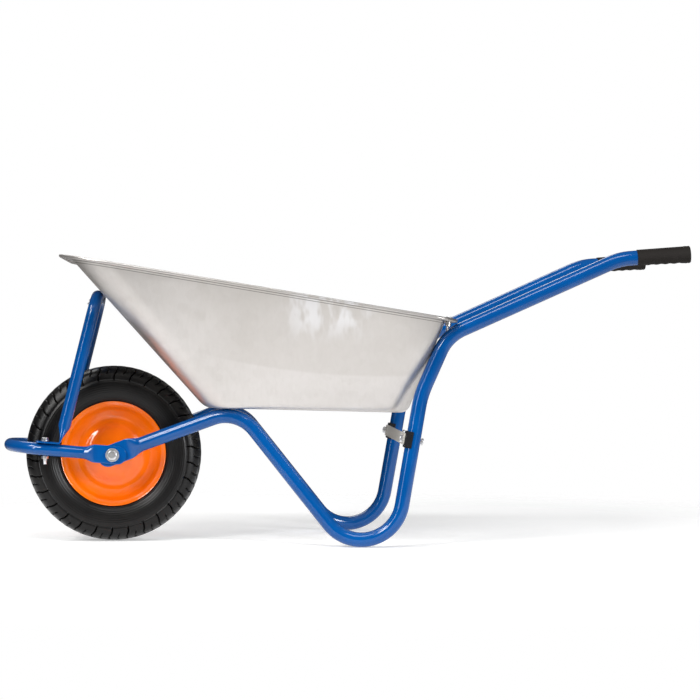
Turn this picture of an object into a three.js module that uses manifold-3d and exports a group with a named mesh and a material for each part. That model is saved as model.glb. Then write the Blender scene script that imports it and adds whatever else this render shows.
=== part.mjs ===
// A builder's wheelbarrow with one pneumatic wheel: a galvanised tray on two bent tube rails,
// a bumper loop round the wheel, a brace under the tray's front wall and a strap across the legs.
// Millimetres, +Z up, handles towards +X. Lengths along X are counted from the axle, and the
// whole assembly is shifted at the end so that the origin is the bottom centre of its box.
import * as THREE from "three";
import { mergeVertices } from "three/addons/utils/BufferGeometryUtils.js";
import { ConvexGeometry } from "three/addons/geometries/ConvexGeometry.js";
import Module from "manifold-3d";

const wasm = await Module();
wasm.setup();

// ---- Driving dimensions ----

// Wheel: a 4.00-8 tyre on an 8 inch rim pressed in two halves.
const AXLE_Z = 195;
const TYRE_R = 195;
const TYRE_HALF_WIDTH = 50;
const RIM_FLANGE_R = 116;
const RIM_HALF_WIDTH = 40;
const RIM_SHEET = 1.6;
const HUB_R = 17;
const HUB_HALF_LENGTH = 45;
const BUSH_FLANGE = 2.5;
const AXLE_R = 6;

// Frame tubes.
const RAIL_R = 16;
const LOOP_R = 13.5;
const TUBE_WALL = 1.8;
const TAPER_STEP = 0.3;
const LUG_THICKNESS = 4;
const RAIL_LUG_Y = 93;
const LOOP_LUG_Y = 97.4;
const RAIL_LUG_HALF_HEIGHT = 23;
const LOOP_LUG_HALF_HEIGHT = 20;
const RAIL_LUG_PAST = 33;
const LOOP_LUG_PAST = 31;
const FLAT_LENGTH = 37;
const RAIL_SLOPE = THREE.MathUtils.degToRad(20.4);

// Corners of a rail's centre line, from the axle lug to the grip, with their bend radii.
const RAIL_CORNERS = [
  { at: [64, 98, 218.8], radius: 0 },
  { at: [274.6, 152.5, 297.3], radius: 84 },
  { at: [592.8, 230, -107.35], radius: 90 },
  { at: [668.6, 220, 328.3], radius: 200 },
  { at: [725, 223, 456], radius: 95 },
  { at: [1098, 242, 623], radius: 150 },
  { at: [1244, 249.6, 632.6], radius: 0 },
];
const GRIP_MOUTH_R = 17.8;
const GRIP_END_R = 18.8;
const GRIP_LENGTH = 115;
const GRIP_END_WALL = 6;

// The bumper loop lies in a plane that rises from the axle to the nose.
const LOOP_START_X = -64;
const LOOP_NOSE_X = -229.8;
const LOOP_NOSE_RISE = 20;
const BRACE_FOOT_X = -147;
const BRACE_HALF_WIDTH = 95;
const BRACE_TOP = { x: -33.5, z: 544 };
const BRACE_BEND_R = 48;
const BRACE_TAB_BACK_X = -116;
const BRACE_TAB_FRONT_X = -166;
const BRACE_SHIN = 42;
const BRACE_ANKLE = 14;
const BRACE_BOLT_Y = 42;

// Tray: a pressed pan whose rim plane falls towards the handles.
const SHEET = 1;
const RIM_REAR = { x: 745, z: 488 };
const RIM_FALL = 0.1647;
const FLOOR_FRONT = { x: 285, z: 297.9 };
const FLOOR_FALL = 0.026;
const RIM_OUTER = { front: -110, rear: 745, half: 305, frontR: 112, rearR: 56 };
const WALL_TOP = { front: -85, rear: 720, half: 283, frontR: 95, rearR: 40 };
const PAN_LOW = { front: 188, rear: 652, half: 190, frontR: 62, rearR: 46 };
const PAN_HAUNCH = { front: 197, rear: 646, half: 185, frontR: 56, rearR: 42 };
const PAN_FLOOR = { front: 214, rear: 632, half: 172, frontR: 46, rearR: 34 };
const PAN_LOW_RISE = 16;
const PAN_HAUNCH_RISE = 5;
const FLANGE_THICKNESS = 1.4;
const BEAD = 7;
const TRAY_BOLT = { x: 729, y: 223.5, hexR: 6.6, r: 3.6, length: 26, washerR: 6.8, spacer: 12 };

// Leg strap, on the front of both legs.
const STRAP_Z = 231;
const STRAP_WIDTH = 25;
const STRAP_THICKNESS = 3;
const STRAP_OVERHANG = 13;
const STRAP_CORNER_R = 5;
const PAD_THICKNESS = 4;
const STRAP_BOLT_LENGTH = 47;
const PAD_DEPTH = 16;
const PAD_HALF_WIDTH = 18.5;
const PAD_HALF_HEIGHT = 18;

// Fasteners: M8 bolts in clearance holes, and the M12 axle.
const M8_R = 4;
const M8_HOLE_R = 4.5;
const M8_HEX_R = 7.5;
const M8_HEAD = 5;
const M8_NUT = 6.5;
const M12_HEX_R = 11;
const M12_HEAD = 8;
const M12_NUT = 10;
const AXLE_WASHER = 2.5;
const AXLE_WASHER_R = 15;
const SPACER_R = 10;
const GAP = 0.3;

const BEND_STEP = THREE.MathUtils.degToRad(15);
const TUBE_SIDES = 12;

// ---- Finishes ----

const blue = () => paint(0x0656a6, 0.28, 0.0);
const orange = () => paint(0xe65f14, 0.3, 0.0);
const galvanised = () => paint(0xdad8d2, 0.38, 0.85);
const zinc = () => paint(0xdfe0e2, 0.3, 0.9);
const blackRubber = () => paint(0x26231f, 0.75, 0.0);
const gripRubber = () => paint(0x3c3734, 0.65, 0.0);
const nylon = () => paint(0x202124, 0.5, 0.0);
const brass = () => paint(0xd6b268, 0.3, 0.9);

function paint(color, roughness, metalness) {
  return new THREE.MeshStandardMaterial({ color, roughness, metalness });
}

// ---- Solids ----

// The closed solid of a three.js geometry.
function solidOf(geometry) {
  const bare = geometry.index ? geometry.toNonIndexed() : geometry.clone();
  bare.deleteAttribute("normal");
  bare.deleteAttribute("uv");
  const merged = mergeVertices(bare, 1e-3);
  const mesh = new wasm.Mesh({
    numProp: 3,
    vertProperties: merged.attributes.position.array,
    triVerts: new Uint32Array(merged.index.array),
  });
  return new wasm.Manifold(mesh);
}

// The three.js geometry of a closed solid.
function geometryOf(solid) {
  const mesh = solid.getMesh();
  const geometry = new THREE.BufferGeometry();
  geometry.setAttribute("position", new THREE.BufferAttribute(mesh.vertProperties, 3));
  geometry.setIndex(new THREE.BufferAttribute(mesh.triVerts, 1));
  geometry.computeVertexNormals();
  return geometry;
}

function part(name, shape, material) {
  const geometry = shape.isBufferGeometry ? shape : geometryOf(shape);
  const mesh = new THREE.Mesh(geometry, material);
  mesh.name = name;
  return mesh;
}

function hull(...rings) {
  return solidOf(new ConvexGeometry(rings.flat()));
}

// Turns an object's or a geometry's local +Z to an axis and puts its origin at a point.
function aimed(at, axis) {
  const turn = new THREE.Quaternion().setFromUnitVectors(new THREE.Vector3(0, 0, 1), axis);
  return new THREE.Matrix4().compose(at, turn, new THREE.Vector3(1, 1, 1));
}

function aim(mesh, at, axis) {
  mesh.applyMatrix4(aimed(at, axis));
  return mesh;
}

// Drills a round hole that starts at a point and runs along an axis.
function drill(solid, at, axis, radius, length) {
  const bit = new THREE.CylinderGeometry(radius, radius, length, TUBE_SIDES);
  bit.rotateX(Math.PI / 2);
  bit.translate(0, 0, length / 2);
  bit.applyMatrix4(aimed(at, axis));
  return solid.subtract(solidOf(bit));
}

// ---- Tubes ----

// The centre line of a bent tube: straight runs joined by circular bends. It gives a section
// at each end of a run and every BEND_STEP in a bend, and none between.
class BentPath extends THREE.Curve {
  constructor(corners) {
    super();
    this.points = [corners[0].at.clone()];
    this.tangents = [corners[1].at.clone().sub(corners[0].at).normalize()];
    for (let i = 1; i < corners.length - 1; i++) {
      this.addBend(corners[i - 1].at, corners[i], corners[i + 1].at);
    }
    this.points.push(corners.at(-1).at.clone());
    this.tangents.push(this.tangents.at(-1).clone());
  }

  addBend(before, corner, after) {
    const arriving = corner.at.clone().sub(before).normalize();
    const leaving = after.clone().sub(corner.at).normalize();
    const turn = arriving.angleTo(leaving);
    const inward = leaving.clone().addScaledVector(arriving, -arriving.dot(leaving)).normalize();
    const start = corner.at.clone().addScaledVector(arriving, -corner.radius * Math.tan(turn / 2));
    const steps = Math.max(2, Math.round(turn / BEND_STEP));
    for (let k = 0; k <= steps; k++) {
      const angle = (turn * k) / steps;
      const point = start.clone().addScaledVector(arriving, corner.radius * Math.sin(angle));
      point.addScaledVector(inward, corner.radius * (1 - Math.cos(angle)));
      const tangent = arriving.clone().multiplyScalar(Math.cos(angle));
      tangent.addScaledVector(inward, Math.sin(angle));
      this.points.push(point);
      this.tangents.push(tangent);
    }
  }

  get steps() {
    return this.points.length - 1;
  }

  getSpacedPoints() {
    return this.points;
  }

  getPoint(t, target = new THREE.Vector3()) {
    return target.copy(this.points[Math.round(t * this.steps)]);
  }

  getTangentAt(u, target = new THREE.Vector3()) {
    return target.copy(this.tangents[Math.round(u * this.steps)]);
  }
}

function tube(path, radius) {
  const section = new THREE.Shape().absarc(0, 0, radius, 0, 2 * Math.PI);
  section.holes.push(new THREE.Path().absarc(0, 0, radius - TUBE_WALL, 0, 2 * Math.PI));
  const options = { extrudePath: path, steps: path.steps, curveSegments: TUBE_SIDES / 2 };
  return solidOf(new THREE.ExtrudeGeometry(section, options));
}

// The ring of points just inside a tube's end, in the middle of its wall, where a taper starts.
function circleRing(end, inward, tubeR) {
  const at = end.clone().add(inward);
  const radius = tubeR - TAPER_STEP;
  const ring = [];
  for (let k = 0; k < TUBE_SIDES; k++) {
    const angle = (2 * Math.PI * k) / TUBE_SIDES;
    const point = new THREE.Vector3(Math.cos(angle), Math.sin(angle), 0);
    ring.push(point.multiplyScalar(radius).applyMatrix4(aimed(at, inward)));
  }
  return ring;
}

// The four corners of a flattened section: across lies along the width, through along the thickness.
function flatRing(at, across, halfWidth, through, thickness) {
  const ring = [];
  for (const side of [-1, 1]) {
    for (const face of [-1, 1]) {
      const point = at.clone().addScaledVector(across, side * halfWidth);
      ring.push(point.addScaledVector(through, (face * thickness) / 2));
    }
  }
  return ring;
}

// A flat axle lug in the XZ plane: a plate from the tube's end to a round end past the axle,
// tilted by an angle about the axle, at y. A positive reach leads towards +X.
function axleLug(y, reach, past, halfHeight, tilt) {
  const sign = Math.sign(reach);
  const shape = new THREE.Shape();
  const centre = -sign * (past - halfHeight);
  shape.moveTo(reach, sign * halfHeight);
  shape.lineTo(centre, sign * halfHeight);
  const from = sign > 0 ? Math.PI / 2 : -Math.PI / 2;
  shape.absarc(centre, 0, halfHeight, from, from + Math.PI, false);
  shape.lineTo(reach, -sign * halfHeight);
  shape.closePath();
  shape.holes.push(new THREE.Path().absarc(0, 0, AXLE_R + 0.6, 0, 2 * Math.PI));
  const plate = new THREE.ExtrudeGeometry(shape, {
    depth: LUG_THICKNESS,
    bevelEnabled: false,
    curveSegments: 8,
  });
  plate.rotateZ(tilt);
  plate.rotateX(Math.PI / 2);
  plate.translate(0, y + LUG_THICKNESS / 2, AXLE_Z);
  return solidOf(plate);
}

const X = new THREE.Vector3(1, 0, 0);
const Y = new THREE.Vector3(0, 1, 0);
const Z = new THREE.Vector3(0, 0, 1);

// ---- Rails ----

const legLow = new THREE.Vector3(...RAIL_CORNERS[2].at);
const legHigh = new THREE.Vector3(...RAIL_CORNERS[3].at);
const LEG_LEAN = Math.atan2(legHigh.x - legLow.x, legHigh.z - legLow.z);

// The point of a leg's centre line at a height, on the side given by the sign.
function legAt(z, side) {
  const t = (z - legLow.z) / (legHigh.z - legLow.z);
  const point = legLow.clone().lerp(legHigh, t);
  point.y *= side;
  return point;
}

function railCorners(side) {
  return RAIL_CORNERS.map(({ at, radius }) => ({
    at: new THREE.Vector3(at[0], side * at[1], at[2]),
    radius,
  }));
}

// The bolt through the tray's rear flange: a point at a depth below the flange, on its axis.
const rimNormal = new THREE.Vector3(RIM_FALL, 0, 1).normalize();
function trayBoltPoint(side, below) {
  const point = new THREE.Vector3(TRAY_BOLT.x, side * TRAY_BOLT.y, rimZ(TRAY_BOLT.x));
  return point.addScaledVector(rimNormal, -below);
}

const strapAxis = new THREE.Vector3(Math.cos(LEG_LEAN), 0, -Math.sin(LEG_LEAN));

function rail(side) {
  const path = new BentPath(railCorners(side));
  const along = new THREE.Vector3(Math.cos(RAIL_SLOPE), 0, Math.sin(RAIL_SLOPE));
  const upright = new THREE.Vector3(-along.z, 0, along.x);
  const hub = new THREE.Vector3(0, side * RAIL_LUG_Y, AXLE_Z);
  const flatEnd = hub.addScaledVector(along, FLAT_LENGTH);
  const taper = hull(
    circleRing(path.points[0], path.tangents[0], RAIL_R),
    flatRing(flatEnd, upright, RAIL_LUG_HALF_HEIGHT, Y, LUG_THICKNESS),
  );
  const reach = FLAT_LENGTH + 1;
  const lug = axleLug(side * RAIL_LUG_Y, reach, RAIL_LUG_PAST, RAIL_LUG_HALF_HEIGHT, RAIL_SLOPE);
  const whole = tube(path, RAIL_R).add(taper).add(lug);
  const strapHole = legAt(STRAP_Z, side).addScaledVector(strapAxis, -2 * RAIL_R);
  const drilled = drill(whole, strapHole, strapAxis, M8_HOLE_R, 4 * RAIL_R);
  return drill(drilled, trayBoltPoint(side, 45), rimNormal, M8_HOLE_R, 40);
}

// ---- Bumper loop and brace ----

// Height of the loop's centre plane at x.
function loopZ(x) {
  return AXLE_Z + (LOOP_NOSE_RISE * x) / LOOP_NOSE_X;
}

const LOOP_TILT = Math.atan2(LOOP_NOSE_RISE, LOOP_NOSE_X);

function frontLoop() {
  const bend = LOOP_LUG_Y - 0.5;
  const startZ = loopZ(LOOP_START_X);
  const corners = [
    { at: new THREE.Vector3(LOOP_START_X, -LOOP_LUG_Y, startZ), radius: 0 },
    { at: new THREE.Vector3(LOOP_NOSE_X, -LOOP_LUG_Y, loopZ(LOOP_NOSE_X)), radius: bend },
    { at: new THREE.Vector3(LOOP_NOSE_X, LOOP_LUG_Y, loopZ(LOOP_NOSE_X)), radius: bend },
    { at: new THREE.Vector3(LOOP_START_X, LOOP_LUG_Y, startZ), radius: 0 },
  ];
  const path = new BentPath(corners);
  const forward = new THREE.Vector3(LOOP_NOSE_X, 0, LOOP_NOSE_RISE).normalize();
  const upright = new THREE.Vector3(forward.z, 0, -forward.x);
  let whole = tube(path, LOOP_R);
  for (const side of [-1, 1]) {
    const end = side < 0 ? path.points[0] : path.points.at(-1);
    const hub = new THREE.Vector3(0, side * LOOP_LUG_Y, AXLE_Z);
    const flatEnd = hub.addScaledVector(forward, FLAT_LENGTH);
    const taper = hull(
      circleRing(end, forward, LOOP_R),
      flatRing(flatEnd, upright, LOOP_LUG_HALF_HEIGHT, Y, LUG_THICKNESS),
    );
    const [reach, tilt] = [-FLAT_LENGTH - 1, LOOP_TILT - Math.PI];
    const lug = axleLug(side * LOOP_LUG_Y, reach, LOOP_LUG_PAST, LOOP_LUG_HALF_HEIGHT, tilt);
    whole = whole.add(taper).add(lug);
    const hole = new THREE.Vector3(BRACE_FOOT_X, side * BRACE_HALF_WIDTH, 170);
    whole = drill(whole, hole, Z, M8_HOLE_R, 80);
  }
  return whole;
}

// The tray's front wall, as a line in the XZ plane: down and towards the handles.
const wallTop = new THREE.Vector3(WALL_TOP.front, 0, rimZ(WALL_TOP.front));
const wallFoot = new THREE.Vector3(PAN_LOW.front, 0, floorZ(PAN_LOW.front) + PAN_LOW_RISE);
const wallDown = wallFoot.clone().sub(wallTop).normalize();
const wallOut = new THREE.Vector3(wallDown.z, 0, -wallDown.x);

function brace() {
  const top = new THREE.Vector3(BRACE_TOP.x, 0, BRACE_TOP.z);
  const tabTop = tabZ(BRACE_TAB_BACK_X) + LUG_THICKNESS;
  const heel = new THREE.Vector3(BRACE_TAB_BACK_X + LUG_THICKNESS, 0, tabTop);
  const up = top.clone().sub(heel).normalize();
  const foot = heel.clone().addScaledVector(up, BRACE_SHIN);
  const corners = [
    { at: foot.clone().setY(-BRACE_HALF_WIDTH), radius: 0 },
    { at: top.clone().setY(-BRACE_HALF_WIDTH), radius: BRACE_BEND_R },
    { at: top.clone().setY(BRACE_HALF_WIDTH), radius: BRACE_BEND_R },
    { at: foot.clone().setY(BRACE_HALF_WIDTH), radius: 0 },
  ];
  const path = new BentPath(corners);
  const flatwise = new THREE.Vector3(up.z, 0, -up.x);
  let whole = tube(path, LOOP_R);
  for (const side of [-1, 1]) {
    const end = side < 0 ? path.points[0] : path.points.at(-1);
    const ankle = heel.clone().setY(side * BRACE_HALF_WIDTH).addScaledVector(up, BRACE_ANKLE);
    const taper = hull(
      circleRing(end, up, LOOP_R),
      flatRing(ankle, Y, LOOP_LUG_HALF_HEIGHT, flatwise, LUG_THICKNESS),
    );
    whole = whole.add(taper).add(braceFoot(ankle, flatwise, side));
    const footHole = new THREE.Vector3(BRACE_FOOT_X, side * BRACE_HALF_WIDTH, 200);
    whole = drill(whole, footHole, Z, M8_HOLE_R, 50);
    const topHole = top.clone().setY(side * BRACE_BOLT_Y).addScaledVector(wallOut, -2 * LOOP_R);
    whole = drill(whole, topHole, wallOut, M8_HOLE_R, 4 * LOOP_R);
  }
  return whole;
}

// Underside of a brace foot at x, just clear of the loop's tube.
function tabZ(x) {
  return loopZ(x) + LOOP_R + GAP + 0.2;
}

// The flattened foot: a short upright piece that bends forward to lie along the loop.
function braceFoot(ankle, flatwise, side) {
  const half = LUG_THICKNESS / 2;
  const back = ankle.clone().addScaledVector(flatwise, half);
  const front = ankle.clone().addScaledVector(flatwise, -half);
  const outline = new THREE.Shape();
  outline.moveTo(back.x, back.z);
  outline.lineTo(BRACE_TAB_BACK_X + 2 * LUG_THICKNESS, tabZ(BRACE_TAB_BACK_X));
  outline.lineTo(BRACE_TAB_FRONT_X, tabZ(BRACE_TAB_FRONT_X));
  outline.lineTo(BRACE_TAB_FRONT_X, tabZ(BRACE_TAB_FRONT_X) + LUG_THICKNESS);
  outline.lineTo(BRACE_TAB_BACK_X, tabZ(BRACE_TAB_BACK_X) + LUG_THICKNESS);
  outline.lineTo(front.x, front.z);
  outline.closePath();
  const depth = 2 * LOOP_LUG_HALF_HEIGHT;
  const plate = new THREE.ExtrudeGeometry(outline, { depth, bevelEnabled: false });
  plate.rotateX(Math.PI / 2);
  plate.translate(0, side * BRACE_HALF_WIDTH + LOOP_LUG_HALF_HEIGHT, 0);
  return solidOf(plate);
}

// ---- Tray ----

function rimZ(x) {
  return RIM_REAR.z + RIM_FALL * (RIM_REAR.x - x);
}

function floorZ(x) {
  return FLOOR_FRONT.z - FLOOR_FALL * (x - FLOOR_FRONT.x);
}

// A rectangle with rounded corners, drawn in plan; inset draws it smaller all round.
function roundedPlan({ front, rear, half, frontR, rearR }, inset = 0) {
  const [x0, x1, w] = [front + inset, rear - inset, half - inset];
  const [a, b] = [frontR - inset, rearR - inset];
  const plan = new THREE.Shape();
  plan.absarc(x1 - b, w - b, b, 0, Math.PI / 2);
  plan.absarc(x0 + a, w - a, a, Math.PI / 2, Math.PI);
  plan.absarc(x0 + a, a - w, a, Math.PI, 1.5 * Math.PI);
  plan.absarc(x1 - b, b - w, b, 1.5 * Math.PI, 2 * Math.PI);
  plan.closePath();
  return plan;
}

// The points of a plan outline, each at the height that zOf gives for its x.
function level(plan, inset, zOf) {
  const points = roundedPlan(plan, inset).getPoints(3);
  return points.map((p) => new THREE.Vector3(p.x, p.y, zOf(p.x)));
}

// The pan without its rim, filled; inset and lift make the inner form.
function panBody(inset, lift) {
  const rise = SHEET * Math.sign(inset);
  return hull(
    level(PAN_FLOOR, inset, (x) => floorZ(x) + rise),
    level(PAN_HAUNCH, inset, (x) => floorZ(x) + PAN_HAUNCH_RISE + 0.7 * rise),
    level(PAN_LOW, inset, (x) => floorZ(x) + PAN_LOW_RISE),
    level(WALL_TOP, inset, (x) => rimZ(x) + lift),
  );
}

// A flat ring in the rim plane, between two plan outlines.
function rimRing(outerInset, innerPlan, innerInset, height, bevel) {
  const plan = roundedPlan(RIM_OUTER, outerInset + bevel);
  plan.holes.push(roundedPlan(innerPlan, innerInset - bevel));
  const ring = new THREE.ExtrudeGeometry(plan, {
    depth: height - 2 * bevel,
    bevelEnabled: bevel > 0,
    bevelThickness: bevel,
    bevelSize: bevel,
    bevelSegments: 1,
    curveSegments: 3,
  });
  ring.translate(0, 0, bevel - height / 2);
  const tilt = new THREE.Matrix4().makeShear(0, -RIM_FALL, 0, 0, 0, 0);
  ring.applyMatrix4(tilt);
  ring.translate(0, 0, rimZ(0));
  return solidOf(ring);
}

function tray() {
  const pan = panBody(0, 0).subtract(panBody(SHEET, GAP));
  const flange = rimRing(BEAD / 2, WALL_TOP, SHEET, FLANGE_THICKNESS, 0);
  const bead = rimRing(0, RIM_OUTER, BEAD, BEAD, 2);
  let whole = pan.add(flange).add(bead);
  for (const side of [-1, 1]) {
    whole = drill(whole, trayBoltPoint(side, 9), rimNormal, M8_HOLE_R, 18);
    const wallHole = braceBoltPoint(side).addScaledVector(wallOut, -2 * LOOP_R);
    whole = drill(whole, wallHole, wallOut, M8_HOLE_R, 2 * LOOP_R);
  }
  return whole;
}

function braceBoltPoint(side) {
  return new THREE.Vector3(BRACE_TOP.x, side * BRACE_BOLT_Y, BRACE_TOP.z);
}

// ---- Fasteners ----

function hexagon(radius) {
  const shape = new THREE.Shape();
  for (let k = 0; k < 6; k++) {
    const angle = (Math.PI * k) / 3;
    const [x, y] = [radius * Math.cos(angle), radius * Math.sin(angle)];
    if (k === 0) shape.moveTo(x, y);
    else shape.lineTo(x, y);
  }
  shape.closePath();
  return shape;
}

// A hexagon bolt: the head stands on the local origin's -Z side and the shank runs along +Z.
function bolt(name, hexR, headHeight, radius, length) {
  const head = new THREE.ExtrudeGeometry(hexagon(hexR), { depth: headHeight, bevelEnabled: false });
  head.translate(0, 0, -headHeight);
  const shank = new THREE.CylinderGeometry(radius, radius, length + 1, TUBE_SIDES);
  shank.rotateX(Math.PI / 2);
  shank.translate(0, 0, (length - 1) / 2);
  return part(name, solidOf(head).add(solidOf(shank)), zinc());
}

// A nut, washer or sleeve: a plate or tube from the local origin along +Z, with a round hole.
function ring(name, outline, holeR, height, material = zinc()) {
  outline.holes.push(new THREE.Path().absarc(0, 0, holeR, 0, 2 * Math.PI));
  const body = new THREE.ExtrudeGeometry(outline, {
    depth: height,
    bevelEnabled: false,
    curveSegments: TUBE_SIDES / 2,
  });
  return part(name, body, material);
}

function disc(radius) {
  return new THREE.Shape().absarc(0, 0, radius, 0, 2 * Math.PI);
}

// Left is the side of a person holding the handles and facing the wheel.
const SIDES = [
  { side: -1, word: "left" },
  { side: 1, word: "right" },
];

// The vertical bolts that hold the brace's feet on the loop.
function braceFootFasteners(side, word) {
  const group = new THREE.Group();
  const lugTop = tabZ(BRACE_FOOT_X) + LUG_THICKNESS;
  const at = (z) => new THREE.Vector3(BRACE_FOOT_X, side * BRACE_HALF_WIDTH, z);
  const down = Z.clone().negate();
  const washerZ = lugTop + 4 * GAP;
  const under = loopZ(BRACE_FOOT_X) - LOOP_R - 1;
  const washer = ring(`brace_foot_washer_${word}`, disc(9), M8_R + GAP, 1.6);
  group.add(aim(washer, at(washerZ), Z));
  const screw = bolt(`brace_foot_bolt_${word}`, M8_HEX_R, M8_HEAD, M8_R, 54);
  group.add(aim(screw, at(washerZ + 1.6 + GAP), down));
  const nut = ring(`brace_foot_nut_${word}`, hexagon(M8_HEX_R), M8_R + GAP, M8_NUT);
  group.add(aim(nut, at(under), down));
  return group;
}

// The bolts through the tray's front wall and the brace's crossbar, square to the wall.
function braceTopFasteners(side, word) {
  const group = new THREE.Group();
  const centre = braceBoltPoint(side);
  const toWall = centre.clone().sub(wallTop).dot(wallOut);
  const at = (d) => centre.clone().addScaledVector(wallOut, d);
  const length = toWall + LOOP_R + 16;
  const screw = bolt(`brace_top_bolt_${word}`, M8_HEX_R, M8_HEAD, M8_R, length);
  group.add(aim(screw, at(-toWall - SHEET - GAP), wallOut));
  const gap = toWall - LOOP_R;
  const spacer = ring(`brace_top_spacer_${word}`, disc(SPACER_R), M8_R + GAP, gap - 2 * GAP);
  group.add(aim(spacer, at(-toWall + GAP), wallOut));
  const nut = ring(`brace_top_nut_${word}`, hexagon(M8_HEX_R), M8_R + GAP, M8_NUT);
  group.add(aim(nut, at(LOOP_R + GAP), wallOut));
  return group;
}

// The bolts that hold the tray's rear flange down on the rails, over a spacer.
function trayRearFasteners(side, word) {
  const group = new THREE.Group();
  const at = (below) => trayBoltPoint(side, below);
  const { hexR, r, length, washerR, spacer } = TRAY_BOLT;
  const face = FLANGE_THICKNESS / 2 + GAP;
  const washer = ring(`tray_rear_washer_${word}`, disc(washerR), M8_R + GAP, 1.2);
  group.add(aim(washer, at(-face), rimNormal));
  const screw = bolt(`tray_rear_bolt_${word}`, hexR, M8_HEAD, r, length);
  group.add(aim(screw, at(-face - 1.5), rimNormal.clone().negate()));
  const sleeve = ring(`tray_rear_spacer_${word}`, disc(washerR - GAP), M8_R + GAP, spacer);
  group.add(aim(sleeve, at(face + spacer), rimNormal));
  return group;
}

// ---- Leg strap ----

// A frame whose Z runs up the legs and whose X runs through them, at the strap's height.
function strapFrame() {
  const frame = new THREE.Group();
  const centre = legAt(STRAP_Z, 1);
  frame.position.set(centre.x, 0, centre.z);
  frame.rotation.y = LEG_LEAN;
  return frame;
}

function legStrap() {
  const frame = strapFrame();
  const legY = legAt(STRAP_Z, 1).y;
  const face = -RAIL_R - PAD_THICKNESS + 1;
  const plan = new THREE.Shape();
  const [halfSpan, halfHeight] = [legY + STRAP_OVERHANG, STRAP_WIDTH / 2];
  const r = STRAP_CORNER_R;
  plan.absarc(halfSpan - r, halfHeight - r, r, 0, Math.PI / 2);
  plan.absarc(r - halfSpan, halfHeight - r, r, Math.PI / 2, Math.PI);
  plan.absarc(r - halfSpan, r - halfHeight, r, Math.PI, 1.5 * Math.PI);
  plan.absarc(halfSpan - r, r - halfHeight, r, 1.5 * Math.PI, 2 * Math.PI);
  for (const side of [-1, 1]) {
    plan.holes.push(new THREE.Path().absarc(side * legY, 0, M8_HOLE_R, 0, 2 * Math.PI));
  }
  const plate = new THREE.ExtrudeGeometry(plan, {
    depth: STRAP_THICKNESS,
    bevelEnabled: false,
    curveSegments: 4,
  });
  plate.rotateX(Math.PI / 2);
  plate.rotateZ(Math.PI / 2);
  plate.translate(face - STRAP_THICKNESS - GAP, 0, 0);
  frame.add(part("leg_strap", plate, galvanised()));
  for (const { side, word } of SIDES) {
    frame.add(strapPad(side * legY, face, word));
    const screw = bolt(`strap_bolt_${word}`, M8_HEX_R, M8_HEAD, M8_R, STRAP_BOLT_LENGTH);
    const front = face - STRAP_THICKNESS - 2 * GAP;
    frame.add(aim(screw, new THREE.Vector3(RAIL_R + 1, side * legY, 0), X.clone().negate()));
    const nut = ring(`strap_nut_${word}`, hexagon(M8_HEX_R), M8_R + GAP, M8_NUT);
    frame.add(aim(nut, new THREE.Vector3(front, side * legY, 0), X.clone().negate()));
  }
  return frame;
}

// A moulded saddle between a leg and the strap: flat in front, hollowed to the tube behind.
function strapPad(y, face, word) {
  const block = new THREE.BoxGeometry(PAD_DEPTH, 2 * PAD_HALF_WIDTH, 2 * PAD_HALF_HEIGHT);
  block.translate(face + PAD_DEPTH / 2, y, 0);
  const leg = new THREE.CylinderGeometry(RAIL_R + GAP, RAIL_R + GAP, 80, 2 * TUBE_SIDES);
  leg.rotateX(Math.PI / 2);
  const splay = Math.atan2(legHigh.y - legLow.y, legHigh.z - legLow.z);
  leg.rotateX(-Math.sign(y) * splay);
  leg.translate(0, y, 0);
  const pad = solidOf(block).subtract(solidOf(leg));
  const start = new THREE.Vector3(-2 * RAIL_R, y, 0);
  return part(`strap_pad_${word}`, drill(pad, start, X, M8_HOLE_R, 2 * RAIL_R), nylon());
}

// ---- Grips ----

function grip(side, word) {
  const end = new THREE.Vector3(...RAIL_CORNERS.at(-1).at);
  const bend = new THREE.Vector3(...RAIL_CORNERS.at(-2).at);
  end.y *= side;
  bend.y *= side;
  const axis = end.clone().sub(bend).normalize();
  const bore = RAIL_R + 0.7;
  const inner = GRIP_LENGTH - GRIP_END_WALL;
  const profile = [
    [0, inner],
    [bore, inner],
    [bore, 0],
    [GRIP_MOUTH_R, 0],
    [GRIP_END_R, GRIP_LENGTH - 3],
    [GRIP_END_R - 1.5, GRIP_LENGTH],
    [0, GRIP_LENGTH],
  ].map(([r, h]) => new THREE.Vector2(r, h));
  const sheath = new THREE.LatheGeometry(profile.reverse(), 14);
  sheath.rotateX(Math.PI / 2);
  const mesh = part(`${word}_grip`, flipIfNeeded(sheath), gripRubber());
  return aim(mesh, end.clone().addScaledVector(axis, GAP - inner), axis);
}

// A lathe profile may run either way; this turns the faces outwards.
function flipIfNeeded(geometry) {
  if (solidOf(geometry).volume() > 0) return geometry;
  const index = geometry.index.array;
  for (let i = 0; i < index.length; i += 3) {
    [index[i + 1], index[i + 2]] = [index[i + 2], index[i + 1]];
  }
  return geometry;
}

// ---- Wheel ----

// A ring turned about the wheel's axis from [radius, axial] points of a closed profile.
function turned(points, segments) {
  const profile = points.map(([r, y]) => new THREE.Vector2(r, y));
  profile.push(profile[0].clone());
  return flipIfNeeded(new THREE.LatheGeometry(profile, segments));
}

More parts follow.
